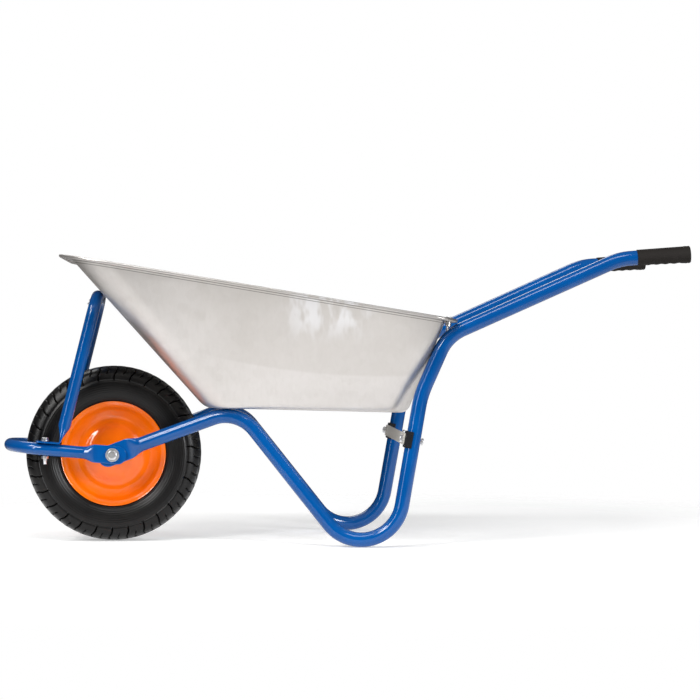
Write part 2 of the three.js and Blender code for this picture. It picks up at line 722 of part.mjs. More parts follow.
// The tyre carcass: crown, shoulders, side walls and beads, open towards the rim.
function tyre() {
  const outer = [
    [RIM_FLANGE_R - 10, 27],
    [RIM_FLANGE_R - 4, 33],
    [RIM_FLANGE_R + 2, 37.5],
    [RIM_FLANGE_R + 6, 42.5],
    [134, 47.5],
    [154, TYRE_HALF_WIDTH],
    [178, 45.5],
    [190, 32],
    [TYRE_R, 14],
  ];
  const inner = [
    [186, 12],
    [174, 38],
    [152, 43.5],
    [128, 39],
    [RIM_FLANGE_R, 31],
    [RIM_FLANGE_R - 10, 22],
  ];
  const mirrored = (half) => half.map(([r, y]) => [r, -y]).reverse();
  return turned([...outer, ...mirrored(outer), ...mirrored(inner), ...inner], 36);
}

// The inner tube, hollow, with the hole that its valve fills.
function innerTube() {
  const [ringR, halfSection, wall, sides] = [146, 35, 2, 8];
  const torus = (r) => {
    const turn = (k) => (2 * Math.PI * k) / sides;
    const circle = Array.from({ length: sides }, (_, k) => [
      ringR + r * Math.cos(turn(k)),
      r * Math.sin(turn(k)),
    ]);
    return solidOf(turned(circle, 28));
  };
  const hollow = torus(halfSection).subtract(torus(halfSection - wall));
  return drill(hollow, valveRoot.clone().addScaledVector(valveAxis, -12), valveAxis, 3.4, 20);
}

// One pressed half of the rim: flange, bead seat, bowl, web ring and the dome to the hub.
function rimHalf(side) {
  const face = [
    [RIM_FLANGE_R, RIM_HALF_WIDTH],
    [RIM_FLANGE_R - 12, 31],
    [98, 20],
    [84, 7],
    [74, 4.5],
    [64, 6],
    [57, 9.5],
    [38, 14],
    [HUB_R + GAP, 16],
  ];
  const profile = [...face, ...offset(face, RIM_SHEET).reverse()];
  return solidOf(turned(profile.map(([r, y]) => [r, side * y]), 32));
}

// A sheet's other face: each point moved inwards, square to the line through its neighbours.
function offset(line, thickness) {
  return line.map(([r, y], i) => {
    const [r0, y0] = line[Math.max(i - 1, 0)];
    const [r1, y1] = line[Math.min(i + 1, line.length - 1)];
    const length = Math.hypot(r1 - r0, y1 - y0);
    return [r - (thickness * (y1 - y0)) / length, y + (thickness * (r1 - r0)) / length];
  });
}

// The valve comes from the inner tube through the right rim half, at a slant.
const valveRoot = new THREE.Vector3(80, 2, 80);
const valveAxis = new THREE.Vector3(-0.6, 0.53, -0.6).normalize();

function wheel() {
  const group = new THREE.Group();
  group.position.z = AXLE_Z;
  group.add(part("tyre", tyre(), blackRubber()));
  group.add(part("inner_tube", innerTube(), blackRubber()));
  group.add(part("rim_left", rimHalf(-1), orange()));
  const valveHole = valveRoot.clone().addScaledVector(valveAxis, -14);
  const right = drill(rimHalf(1), valveHole, valveAxis, 5.2, 60);
  group.add(part("rim_right", right, orange()));
  group.add(part("hub_tube", sleeve(HUB_R, HUB_R - 3, HUB_HALF_LENGTH), zinc()));
  for (const { side, word } of SIDES) group.add(bush(side, word));
  group.add(valve());
  return group;
}

function sleeve(outerR, innerR, half) {
  const profile = [
    [innerR, -half],
    [outerR, -half],
    [outerR, half],
    [innerR, half],
  ];
  return turned(profile, 18);
}

// A flanged plain bearing in each end of the hub.
function bush(side, word) {
  const bore = AXLE_R + 0.6;
  const [inEnd, outEnd] = [HUB_HALF_LENGTH - 22, HUB_HALF_LENGTH + GAP];
  const profile = [
    [bore, inEnd],
    [HUB_R - 3 - GAP, inEnd],
    [HUB_R - 3 - GAP, outEnd],
    [HUB_R, outEnd],
    [HUB_R, outEnd + BUSH_FLANGE],
    [bore, outEnd + BUSH_FLANGE],
  ].map(([r, y]) => [r, side * y]);
  return part(`bush_${word}`, turned(profile, 18), nylon());
}

function valve() {
  const group = new THREE.Group();
  const stem = new THREE.CylinderGeometry(3, 3, 34, TUBE_SIDES);
  stem.rotateX(Math.PI / 2);
  stem.translate(0, 0, 11);
  group.add(aim(part("valve_stem", stem, brass()), valveRoot, valveAxis));
  const cap = new THREE.CylinderGeometry(4, 4.4, 9, TUBE_SIDES);
  cap.rotateX(Math.PI / 2);
  cap.translate(0, 0, 33);
  group.add(aim(part("valve_cap", cap, nylon()), valveRoot, valveAxis));
  return group;
}

// The axle bolt with its washers, nut and the sleeves that keep the hub central.
function axle() {
  const group = new THREE.Group();
  group.position.z = AXLE_Z;
  const outside = LOOP_LUG_Y + LUG_THICKNESS / 2 + GAP;
  const headFace = outside + AXLE_WASHER + GAP;
  const length = 2 * headFace + M12_NUT + 7;
  const screw = bolt("axle_bolt", M12_HEX_R, M12_HEAD, AXLE_R, length);
  group.add(aim(screw, Y.clone().multiplyScalar(-headFace), Y));
  for (const { side, word } of SIDES) {
    const outward = Y.clone().multiplyScalar(side);
    const rim = disc(AXLE_WASHER_R);
    const plain = ring(`axle_washer_${word}`, rim, AXLE_R + GAP, AXLE_WASHER);
    group.add(aim(plain, outward.clone().multiplyScalar(outside), outward));
    const innerFace = HUB_HALF_LENGTH + BUSH_FLANGE + 1;
    const span = RAIL_LUG_Y - LUG_THICKNESS / 2 - GAP - innerFace;
    const spacer = ring(`axle_spacer_${word}`, disc(SPACER_R), AXLE_R + GAP, span);
    group.add(aim(spacer, outward.clone().multiplyScalar(innerFace), outward));
  }
  const nut = ring("axle_nut", hexagon(M12_HEX_R), AXLE_R + GAP, M12_NUT);
  group.add(aim(nut, Y.clone().multiplyScalar(headFace), Y));
  return group;
}

// ---- Assembly ----

const wheelbarrow = new THREE.Group();
wheelbarrow.add(part("tray", tray(), galvanised()));
wheelbarrow.add(part("front_loop", frontLoop(), blue()));
wheelbarrow.add(part("front_brace", brace(), blue()));
for (const { side, word } of SIDES) {
  wheelbarrow.add(part(`${word}_rail`, rail(side), blue()));
  wheelbarrow.add(grip(side, word));
  wheelbarrow.add(braceFootFasteners(side, word));
  wheelbarrow.add(braceTopFasteners(side, word));
  wheelbarrow.add(trayRearFasteners(side, word));
}
wheelbarrow.add(legStrap());
wheelbarrow.add(wheel());
wheelbarrow.add(axle());

// The origin is the bottom centre of the whole, which stands on the tyre and the two feet.
wheelbarrow.updateMatrixWorld(true);
const box = new THREE.Box3().setFromObject(wheelbarrow, true);
wheelbarrow.position.x = -(box.min.x + box.max.x) / 2;
wheelbarrow.position.z = -box.min.z;

export default wheelbarrow;
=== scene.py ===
"""A builder's wheelbarrow with one pneumatic wheel.

A galvanised tray stands on two bent tube rails that are also the legs and the handles. A bumper
loop runs round the front of the wheel, a brace carries the tray's front wall, and a strap joins
the legs. Sizes are in millimetres, counted along X from the axle, and become metres in the
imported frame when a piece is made.
"""

import logging
import math
from dataclasses import dataclass, field
from enum import Enum
from typing import Callable, Optional, Sequence, Union

import bpy
import numpy as np
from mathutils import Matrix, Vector


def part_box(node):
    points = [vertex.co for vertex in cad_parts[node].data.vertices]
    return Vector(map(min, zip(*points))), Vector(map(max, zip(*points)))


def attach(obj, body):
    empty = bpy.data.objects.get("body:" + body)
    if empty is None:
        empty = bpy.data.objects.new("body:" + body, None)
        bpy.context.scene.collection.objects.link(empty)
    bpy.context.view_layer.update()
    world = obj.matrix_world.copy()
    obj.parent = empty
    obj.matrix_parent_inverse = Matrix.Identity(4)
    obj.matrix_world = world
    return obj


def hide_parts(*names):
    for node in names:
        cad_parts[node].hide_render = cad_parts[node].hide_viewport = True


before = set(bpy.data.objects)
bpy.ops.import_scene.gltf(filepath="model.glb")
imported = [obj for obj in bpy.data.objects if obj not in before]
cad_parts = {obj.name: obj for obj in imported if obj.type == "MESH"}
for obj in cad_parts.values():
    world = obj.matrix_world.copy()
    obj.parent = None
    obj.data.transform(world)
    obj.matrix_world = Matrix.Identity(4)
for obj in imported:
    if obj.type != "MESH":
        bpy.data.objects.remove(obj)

Array = np.ndarray
LOG = logging.getLogger("wheelbarrow")


class Body(Enum):
    """The two bodies that the pieces ride on."""

    FRAME = "frame"
    WHEEL = "wheel"


class Side(Enum):
    """The side of a person who holds the handles and faces the wheel."""

    LEFT = "left"
    RIGHT = "right"

    @property
    def sign(self) -> int:
        """Sign of Y on this side."""
        return -1 if self is Side.LEFT else 1


# ---------------------------------------------------------------- surfaces


@dataclass
class Surface:
    """Points with the quads and triangles between them."""

    points: Array
    quads: Array
    triangles: Array

    def volume(self) -> float:
        """Signed volume: positive where the faces point outwards."""
        a, b, c, d = (self.points[self.quads[:, k]] for k in range(4))
        total = _six_volumes(a, b, c) + _six_volumes(a, c, d)
        e, f, g = (self.points[self.triangles[:, k]] for k in range(3))
        return float(total + _six_volumes(e, f, g)) / 6

    def outward(self) -> "Surface":
        """The same surface with its faces turned outwards."""
        if self.volume() >= 0:
            return self
        return Surface(self.points, self.quads[:, ::-1], self.triangles[:, ::-1])

    def placed(self, origin: Array, axis: Array) -> "Surface":
        """The surface with its local Z turned to an axis and its origin moved.

        Args:
            origin: Where the local origin goes.
            axis: Where the local Z goes.

        Returns:
            The placed surface.
        """
        z = unit(axis)
        x = unit(np.cross([0.0, 1.0, 0.0] if abs(z[1]) < 0.9 else [0.0, 0.0, 1.0], z))
        turn = np.stack([x, np.cross(z, x), z])
        return Surface(self.points @ turn + np.asarray(origin, float), self.quads, self.triangles)


def _six_volumes(a: Array, b: Array, c: Array) -> float:
    """Six times the sum of the signed volumes of tetrahedra from the origin."""
    return float(np.einsum("ij,ij->", a, np.cross(b, c)))


def unit(vector: Array) -> Array:
    """Vectors scaled to length one along their last axis."""
    vector = np.asarray(vector, float)
    return vector / np.linalg.norm(vector, axis=-1, keepdims=True)


def smooth(value: Array) -> Array:
    """A ramp from 0 to 1 that is level at both ends: 3 t squared less 2 t cubed."""
    t = np.clip(value, 0.0, 1.0)
    return t * t * (3 - 2 * t)


def mix(a: Array, b: Array, t: Array) -> Array:
    """The value between a and b at share t."""
    return a + (b - a) * t


def curve(start: Array, middle: Array, end: Array, t: Array) -> Array:
    """A parabola from start to end that leaves and arrives on lines through middle."""
    return (1 - t) ** 2 * start + 2 * t * (1 - t) * middle + t**2 * end


def turns(count: int) -> Array:
    """Even angles once round a circle."""
    return np.linspace(0, 2 * np.pi, count, endpoint=False)


def polar(radius: Array, angle: Array, height: Array) -> Array:
    """XYZ points from a radius and an angle about Z and a height."""
    height = np.broadcast_to(height, np.shape(radius))
    return np.stack([radius * np.cos(angle), radius * np.sin(angle), height], -1)


def grid(rows: Array, loop_rows: bool = False, poles: bool = True) -> Surface:
    """A closed surface from a stack of closed rings of points.

    Each point is joined to the next one of its ring and to the same one of the next ring.

    Args:
        rows: Ring points, as rings by points by XYZ.
        loop_rows: Whether the last ring joins the first.
        poles: Whether the first and last rings are closed by a fan to their middle.

    Returns:
        The surface, with its faces outwards.
    """
    n, m = rows.shape[:2]
    i = np.arange(n if loop_rows else n - 1)[:, None] + np.zeros((1, m), int)
    j = np.arange(m)[None, :] + np.zeros((len(i), 1), int)
    up, along = (i + 1) % n, (j + 1) % m
    quads = np.stack([i * m + j, i * m + along, up * m + along, up * m + j], -1).reshape(-1, 4)
    points = rows.reshape(-1, 3)
    fans = np.zeros((0, 3), int)
    if poles and not loop_rows:
        points = np.vstack([points, rows[0].mean(0), rows[-1].mean(0)])
        k = np.arange(m)
        first = np.stack([k, np.full(m, n * m), (k + 1) % m], -1)
        last = np.stack([(n - 1) * m + k, (n - 1) * m + (k + 1) % m, np.full(m, n * m + 1)], -1)
        fans = np.vstack([first, last])
    return Surface(points, quads, fans).outward()


def turned(profile: Array, segments: int = 64, closed: bool = True) -> Surface:
    """A profile of radius and height turned about Z.

    A point at turn a is (r cos a, r sin a, h).

    Args:
        profile: Radius and height of each point.
        segments: Points round the axis.
        closed: Whether the profile closes on itself; otherwise its ends close on the axis.

    Returns:
        The surface, with its faces outwards.
    """
    r, h = np.asarray(profile, float).T
    rows = polar(r[:, None] * np.ones(segments), turns(segments), h[:, None])
    return grid(rows, loop_rows=closed, poles=not closed)


def rounded(points: Sequence[Sequence[float]], passes: int = 2) -> Array:
    """A polyline with its corners cut, so that it runs as a smooth curve.

    Each pass puts two points on every stretch, a quarter of the way from its ends.

    Args:
        points: The corners.
        passes: How many times the corners are cut.

    Returns:
        The curve's points, with its two ends kept.
    """
    line = np.asarray(points, float)
    for _ in range(passes):
        here, ahead = line[:-1], line[1:]
        cut = np.stack([mix(here, ahead, 0.25), mix(here, ahead, 0.75)], 1).reshape(-1, line.shape[1])
        line = np.vstack([line[:1], cut[1:-1], line[-1:]])
    return line


def resampled(line: Array, count: int) -> Array:
    """The same open line with its points spread evenly along its length."""
    step = np.linalg.norm(np.diff(line, axis=0), axis=1)
    run = np.concatenate([[0.0], np.cumsum(step)])
    even = np.linspace(0, run[-1], count)
    return np.stack([np.interp(even, run, line[:, k]) for k in range(line.shape[1])], -1)


# ---------------------------------------------------------------- bent tubes


@dataclass(frozen=True)
class Corner:
    """A corner of a bent tube's centre line and the radius of the bend there."""

    at: tuple[float, float, float]
    radius: float = 0.0

    def on(self, side: Side) -> "Corner":
        """The corner on the left or the right side."""
        x, y, z = self.at
        return Corner((x, y * side.sign, z), self.radius)


@dataclass
class CentreLine:
    """Points along a tube, with the two directions of its section and the length run so far."""

    points: Array
    across: Array
    through: Array
    run: Array

    @property
    def length(self) -> float:
        """Length of the whole line."""
        return float(self.run[-1])

    @staticmethod
    def bent(corners: Sequence[Corner], across: Sequence[float], step: float = 3.0) -> "CentreLine":
        """A line of straight runs joined by circular bends.

        In a bend of radius r the point at angle a is r sin a along the arriving run and
        r (1 - cos a) towards the inside, and the section turns by a about the bend's axis.

        Args:
            corners: The ends and the corners between them.
            across: The section's first direction at the start.
            step: Distance between points on the straights.

        Returns:
            The sampled line.
        """
        spots = [np.asarray(c.at, float) for c in corners]
        heading = unit(spots[1] - spots[0])
        wide = unit(np.asarray(across, float) - heading * np.dot(across, heading))
        points, wides, headings = [], [], []
        here = spots[0]
        for k in range(1, len(corners) - 1):
            leaving = unit(spots[k + 1] - spots[k])
            turn = math.acos(float(np.clip(np.dot(heading, leaving), -1, 1)))
            radius = corners[k].radius
            bend_from = spots[k] - heading * radius * math.tan(turn / 2)
            count = max(1, round(float(np.linalg.norm(bend_from - here)) / step))
            t = np.linspace(0, 1, count, endpoint=False)[:, None]
            points.append(mix(here, bend_from, t))
            wides.append(np.repeat(wide[None], count, 0))
            headings.append(np.repeat(heading[None], count, 0))
            inside = unit(leaving - heading * np.dot(heading, leaving))
            hinge = np.cross(heading, inside)
            count = max(3, round(turn / math.radians(3)))
            a = np.linspace(0, turn, count, endpoint=False)[:, None]
            points.append(bend_from + radius * (np.sin(a) * heading + (1 - np.cos(a)) * inside))
            headings.append(np.cos(a) * heading + np.sin(a) * inside)
            wides.append(turned_about(wide, hinge, a))
            wide = turned_about(wide, hinge, np.array([[turn]]))[0]
            here = bend_from + radius * (math.sin(turn) * heading + (1 - math.cos(turn)) * inside)
            heading = leaving
        count = max(2, round(float(np.linalg.norm(spots[-1] - here)) / step))
        points.append(mix(here, spots[-1], np.linspace(0, 1, count)[:, None]))
        wides.append(np.repeat(wide[None], count, 0))
        headings.append(np.repeat(heading[None], count, 0))
        line, wide_all, heading_all = map(np.vstack, (points, wides, headings))
        gap = np.linalg.norm(np.diff(line, axis=0), axis=1)
        run = np.concatenate([[0.0], np.cumsum(gap)])
        return CentreLine(line, wide_all, np.cross(heading_all, wide_all), run)


def turned_about(vector: Array, hinge: Array, angle: Array) -> Array:
    """A vector turned about a unit axis: v cos a + (k x v) sin a + k (k.v)(1 - cos a)."""
    return (
        vector * np.cos(angle)
        + np.cross(hinge, vector) * np.sin(angle)
        + hinge * np.dot(hinge, vector) * (1 - np.cos(angle))
    )


def swept(line: CentreLine, wide: Array, thick: Array, power: Array, sides: int = 32) -> Surface:
    """A tube whose section may change along it.

    The section is a superellipse: at turn a, wide |cos a|^(2/p) across and
    thick |sin a|^(2/p) through, so that p = 2 is round and a large p is square.

    Args:
        line: The centre line.
        wide: Half the section's width at each point.
        thick: Half its thickness at each point.
        power: The superellipse's power at each point.
        sides: Points round the section.

    Returns:
        The closed surface.
    """
    a = turns(sides)[None, :]
    e = 2 / power[:, None]
    u = wide[:, None] * np.sign(np.cos(a)) * np.abs(np.cos(a)) ** e
    v = thick[:, None] * np.sign(np.sin(a)) * np.abs(np.sin(a)) ** e
    rows = line.points[:, None] + u[..., None] * line.across[:, None] + v[..., None] * line.through[:, None]
    return grid(rows)


# ---------------------------------------------------------------- shader nodes


class Sock:
    """A shader socket that takes part in Python sums and adds the Math nodes they need."""

    def __init__(self, tree: "Tree", socket: bpy.types.NodeSocket) -> None:
        """Keeps the node tree and the socket."""
        self.tree = tree
        self.socket = socket

    def __add__(self, other: "Value") -> "Sock":
        """Sum."""
        return self.tree.math("ADD", self, other)

    __radd__ = __add__

    def __mul__(self, other: "Value") -> "Sock":
        """Product."""
        return self.tree.math("MULTIPLY", self, other)

    __rmul__ = __mul__

    def __sub__(self, other: "Value") -> "Sock":
        """Difference."""
        return self.tree.math("SUBTRACT", self, other)

    def __rsub__(self, other: "Value") -> "Sock":
        """Difference from a number."""
        return self.tree.math("SUBTRACT", other, self)

    def sine(self) -> "Sock":
        """Sine of the value in radians."""
        return self.tree.math("SINE", self)

    def root(self) -> "Sock":
        """Square root."""
        return self.tree.math("SQRT", self)

    def ramp(self, low: float, high: float) -> "Sock":
        """A smooth mask from 0 at low to 1 at high."""
        return self.tree.node(
            "ShaderNodeMapRange",
            {"interpolation_type": "SMOOTHSTEP"},
            {"Value": self, "From Min": low, "From Max": high},
        )["Result"]


Value = Union[Sock, float, int, tuple]


class Node:
    """A shader node whose outputs are read by name."""

    def __init__(self, tree: "Tree", node: bpy.types.Node) -> None:
        """Keeps the tree and the node."""
        self.tree = tree
        self.node = node

    def __getitem__(self, name: Union[str, int]) -> Sock:
        """The output of that name or number."""
        return Sock(self.tree, self.node.outputs[name])


class Tree:
    """The nodes of one material or of the surround."""

    def __init__(self, owner: Union[bpy.types.Material, bpy.types.World]) -> None:
        """Starts with no nodes at all."""
        owner.use_nodes = True
        self.owner = owner
        self.tree = owner.node_tree
        self.tree.nodes.clear()
        self._place: Optional[Sock] = None

    @classmethod
    def of_material(cls, name: str) -> "Tree":
        """The empty nodes of a new material."""
        return cls(bpy.data.materials.new(name))

    def node(self, kind: str, settings: Optional[dict] = None, inputs: Optional[dict] = None) -> Node:
        """Adds a node.

        Args:
            kind: The node's type name.
            settings: Attributes that are set first; "stops" is a ramp's list of place and colour.
            inputs: Values or links by socket name or number.

        Returns:
            The node.
        """
        node = self.tree.nodes.new(kind)
        for key, value in (settings or {}).items():
            if key == "stops":
                self._stops(node.color_ramp, value)
            else:
                setattr(node, key, value)
        for key, value in (inputs or {}).items():
            if isinstance(value, Sock):
                self.tree.links.new(value.socket, node.inputs[key])
            else:
                node.inputs[key].default_value = value
        return Node(self, node)

    @staticmethod
    def _stops(ramp: bpy.types.ColorRamp, stops: Sequence[tuple]) -> None:
        """Sets a ramp's stops from places and colours."""
        while len(ramp.elements) < len(stops):
            ramp.elements.new(0.5)
        for element, (place, colour) in zip(ramp.elements, stops):
            element.position = place
            element.color = (*colour, 1.0)

    def math(self, operation: str, a: Value, b: Value = 0.0) -> Sock:
        """One Math node on two values."""
        return self.node("ShaderNodeMath", {"operation": operation}, {0: a, 1: b})["Value"]

    def blend(self, share: Value, a: Value, b: Value) -> Sock:
        """A colour between a and b."""
        settings = {"data_type": "RGBA", "clamp_factor": True}
        return self.node("ShaderNodeMix", settings, {0: share, 6: a, 7: b})[2]

    @property
    def place(self) -> Sock:
        """Object coordinates, in metres."""
        if self._place is None:
            self._place = self.node("ShaderNodeTexCoord")["Object"]
        return self._place

    def xyz(self) -> tuple[Sock, Sock, Sock]:
        """The three object coordinates."""
        split = self.node("ShaderNodeSeparateXYZ", None, {0: self.place})
        return split["X"], split["Y"], split["Z"]

    def noise(self, scale: float, detail: float = 3.0, stretch: tuple = (1.0, 1.0, 1.0)) -> Sock:
        """Noise on object coordinates, finer along the axes that stretch scales up."""
        mapped = self.node("ShaderNodeMapping", None, {"Vector": self.place, "Scale": stretch})["Vector"]
        inputs = {"Vector": mapped, "Scale": scale, "Detail": detail, "Roughness": 0.6}
        return self.node("ShaderNodeTexNoise", None, inputs)[0]

    def bump(
        self, height: Value, distance: float, strength: float = 1.0, under: Optional[Sock] = None
    ) -> Sock:
        """A bumped normal from a height in units of the distance."""
        inputs = {"Height": height, "Distance": distance, "Strength": strength}
        if under is not None:
            inputs["Normal"] = under
        return self.node("ShaderNodeBump", None, inputs)["Normal"]

    def surface(self, clear: Optional[Sock] = None, **inputs: Value) -> bpy.types.Material:
        """Ends the material in one Principled shader.

        Args:
            clear: Share of the surface that lets light straight through.
            inputs: Socket values, with underscores for the spaces in their names.

        Returns:
            The material.
        """
        named = {key.replace("_", " "): value for key, value in inputs.items()}
        shader = self.node("ShaderNodeBsdfPrincipled", None, named)["BSDF"]
        if clear is not None:
            through = self.node("ShaderNodeBsdfTransparent")[0]
            shader = self.node("ShaderNodeMixShader", None, {0: clear, 1: shader, 2: through})[0]
        self.node("ShaderNodeOutputMaterial", None, {"Surface": shader})
        return self.owner


def rgb(r: float, g: float, b: float) -> tuple[float, float, float, float]:
    """A linear colour from sRGB numbers of 0 to 255."""
    linear = [(c / 255 / 12.92) if c <= 10 else ((c / 255 + 0.055) / 1.055) ** 2.4 for c in (r, g, b)]
    return (*linear, 1.0)


# ---------------------------------------------------------------- finishes


@dataclass(frozen=True)
class Paint:
    """Glossy stoved paint with orange peel, faint mottling and small specks."""

    name: str
    colour: tuple
    deep: tuple
    slot: str
    roughness: float = 0.2
    coat: float = 0.25
    shine: float = 0.32

    def make(self) -> bpy.types.Material:
        """Builds the material."""
        tree = Tree.of_material(self.name)
        mottle = tree.noise(9.0, 4.0).ramp(0.3, 0.75)
        speck = tree.noise(700.0, 1.0).ramp(0.7, 0.78)
        base = tree.blend(mottle, self.deep, self.colour)
        base = tree.blend(speck * 0.25, base, tuple(0.6 * c for c in self.deep[:3]) + (1.0,))
        peel = tree.bump(tree.noise(150.0, 1.0), 0.00004, 0.25)
        rough = tree.noise(35.0, 3.0) * 0.05 + self.roughness
        return tree.surface(
            Base_Color=base, Roughness=rough, Normal=peel, Coat_Weight=self.coat, Coat_Roughness=0.05,
            Specular_IOR_Level=self.shine,
        )


@dataclass(frozen=True)
class Galvanised:
    """Pressed zinc-coated sheet: faint crystals, rolling grain, draw marks and painted shade, sheen and
    reflection.

    The edge is the rim plane's height at x of nought and its fall for each metre of x. Each
    crease is a height from that plane, less than nought under it, and a half width; a line of
    painted shade runs along each. The arc, the lower edge of a duller painted reflection of the
    dark horizon, is a parabola: its lowest x, its height there and its rise for x squared. The
    bands are the lengths of x over which a painted mark comes in and goes out, and the shares are
    how strong each mark is.
    """

    name: str
    colour: tuple
    dull: tuple
    # The colour of the painted shade at the rear and in the creases under the rim.
    painted_shade: tuple
    slot: str
    edge: tuple
    roughness: float = 0.3
    crystal: float = 55.0
    metal: float = 0.84
    # Painted light: the painted sheen's bright colour, lines of painted shade in the creases, the arc and
    # bands of the painted reflection, the bands of painted sheen and painted rear shade, and how strong
    # each is.
    bright: tuple = (0.86, 0.86, 0.88, 1.0)
    creases: tuple = ((-0.0042, 0.0008), (-0.0088, 0.0007))
    reflection_arc: tuple = (0.084, 0.368, 0.32)
    reflection_band: tuple = ((-0.36, -0.2), (0.09, 0.2))
    sheen_band: tuple = ((-0.16, -0.08), (0.0, 0.09))
    rear_shade_band: tuple = (0.08, 0.24)
    reflection_share: float = 0.34
    sheen_share: float = 0.6
    rear_shade_share: float = 0.45
    crease_shade_share: float = 0.7

    def make(self) -> bpy.types.Material:
        """Builds the material."""
        tree = Tree.of_material(self.name)
        settings = {"Vector": tree.place, "Scale": self.crystal, "Randomness": 1.0}
        cells = tree.node("ShaderNodeTexVoronoi", None, settings)["Color"]
        flake = tree.node("ShaderNodeSeparateColor", None, {0: cells})[0]
        draw = tree.noise(16.0, 4.0, (9.0, 9.0, 0.35)).ramp(0.35, 0.8)
        cloud = tree.noise(3.2, 4.0).ramp(0.3, 0.8)
        base = tree.blend(cloud * 0.5 + flake * 0.1 + draw * 0.1, self.colour, self.dull)
        # Painted light on the walls: painted shade, painted sheen and a painted reflection.
        base = self._painted_light(tree, base)
        grain = tree.noise(300.0, 2.0, (1.0, 1.0, 0.06))
        rough = flake * 0.05 + draw * 0.08 + grain * 0.05 + self.roughness
        lines = tree.bump(grain, 0.00006, 0.35)
        ripple = tree.bump(tree.noise(7.0, 2.0, (1.6, 1.6, 0.5)), 0.0035, 0.16, lines)
        return tree.surface(Base_Color=base, Metallic=self.metal, Roughness=rough, Normal=ripple)

    def _painted_light(self, tree: Tree, base: Sock) -> Sock:
        """The side walls' painted light: a duller painted reflection above an arc, an upright painted
        sheen, painted shade at the rear towards the rim and painted shade in the creases under the rim.

        Args:
            tree: The material's nodes.
            base: The sheet's colour so far.

        Returns:
            The colour with the marks.
        """
        x, y, z = tree.xyz()
        below = z - (self.edge[0] - x * self.edge[1])
        side = y * y
        wall = side.ramp(0.02, 0.035)
        # Painted reflection: above this arc the wall is painted duller, as if it mirrored the dark horizon.
        low_x, low_z, rise = self.reflection_arc
        reach = x - low_x
        above_arc = (z - (reach * reach * rise + low_z)).ramp(-0.002, 0.005)
        start, stop = self.reflection_band
        dull_reflection = above_arc * x.ramp(*start) * (1 - x.ramp(*stop)) * wall
        base = tree.blend(dull_reflection * self.reflection_share, base, self.dull)
        # Painted highlight: upright streaks of sheen in the bright colour, high on the walls.
        start, stop = self.sheen_band
        height = z.ramp(0.43, 0.5) * (1 - z.ramp(0.53, 0.56))
        sheen = tree.noise(24.0, 2.0, (1.6, 1.6, 0.12)).ramp(0.42, 0.62)
        upright = sheen * x.ramp(*start) * (1 - x.ramp(*stop)) * height * wall
        base = tree.blend(upright * self.sheen_share, base, self.bright)
        # Painted shade: the rear of the walls is painted darker towards the rim.
        rear_shade = x.ramp(*self.rear_shade_band) * below.ramp(-0.13, -0.02) * wall
        base = tree.blend(rear_shade * self.rear_shade_share, base, self.painted_shade)
        # Painted shade: a dark line along each crease under the rolled rim.
        for depth, width in self.creases:
            line = (below - depth) * (1 / width)
            painted_shade = (1 - (line * line).ramp(0.3, 2.2)) * side.ramp(0.02, 0.04)
            base = tree.blend(painted_shade * self.crease_shade_share, base, self.painted_shade)
        return base


@dataclass(frozen=True)
class ZincPlate:
    """Bright zinc plate on fasteners, with a little blue and yellow in it."""

    name: str
    colour: tuple
    tint: tuple
    slot: str
    roughness: float = 0.24

    def make(self) -> bpy.types.Material:
        """Builds the material."""
        tree = Tree.of_material(self.name)
        stain = tree.noise(120.0, 3.0).ramp(0.35, 0.75)
        base = tree.blend(stain * 0.6, self.colour, self.tint)
        rough = tree.noise(400.0, 3.0) * 0.16 + self.roughness
        scratch = tree.bump(tree.noise(900.0, 2.0, (1.0, 0.2, 1.0)), 0.00004, 0.5)
        return tree.surface(Base_Color=base, Metallic=0.95, Roughness=rough, Normal=scratch)


@dataclass(frozen=True)
class TyreRubber:
    """Black tyre rubber: moulding rings on the side wall, dust in the low places."""

    name: str
    colour: tuple
    dust: tuple
    slot: str
    axle: tuple
    ring_pitch: float = 0.0045

    def make(self) -> bpy.types.Material:
        """Builds the material; the rings follow the distance from the axle."""
        tree = Tree.of_material(self.name)
        x, _, z = tree.xyz()
        dx, dz = x - self.axle[0], z - self.axle[2]
        radius = (dx * dx + dz * dz).root()
        rings = (radius * (2 * math.pi / self.ring_pitch)).sine()
        wall = radius.ramp(0.115, 0.122) * (1 - radius.ramp(0.158, 0.163))
        dusty = tree.noise(11.0, 5.0).ramp(0.42, 0.8)
        fine = tree.noise(600.0, 2.0)
        base = tree.blend(dusty * 0.55, self.colour, self.dust)
        grain = tree.bump(fine, 0.00015, 0.45)
        moulded = tree.bump(rings * wall, 0.00022, 0.5, grain)
        rough = dusty * 0.12 + fine * 0.05 + 0.3
        return tree.surface(Base_Color=base, Roughness=rough, Normal=moulded, Specular_IOR_Level=0.3)


@dataclass(frozen=True)
class MouldedRubber:
    """Soft rubber or nylon with a fine matt skin."""

    name: str
    colour: tuple
    worn: tuple
    slot: str
    roughness: float = 0.55
    skin: float = 500.0

    def make(self) -> bpy.types.Material:
        """Builds the material."""
        tree = Tree.of_material(self.name)
        wear = tree.noise(24.0, 5.0).ramp(0.45, 0.78)
        fine = tree.noise(self.skin, 2.0)
        base = tree.blend(wear * 0.6, self.colour, self.worn)
        rough = fine * 0.12 + wear * 0.08 + self.roughness
        return tree.surface(
            Base_Color=base, Roughness=rough, Normal=tree.bump(fine, 0.0002, 0.5), Specular_IOR_Level=0.15
        )


# ---------------------------------------------------------------- workshop


Finish = Union[Paint, Galvanised, ZincPlate, TyreRubber, MouldedRubber]


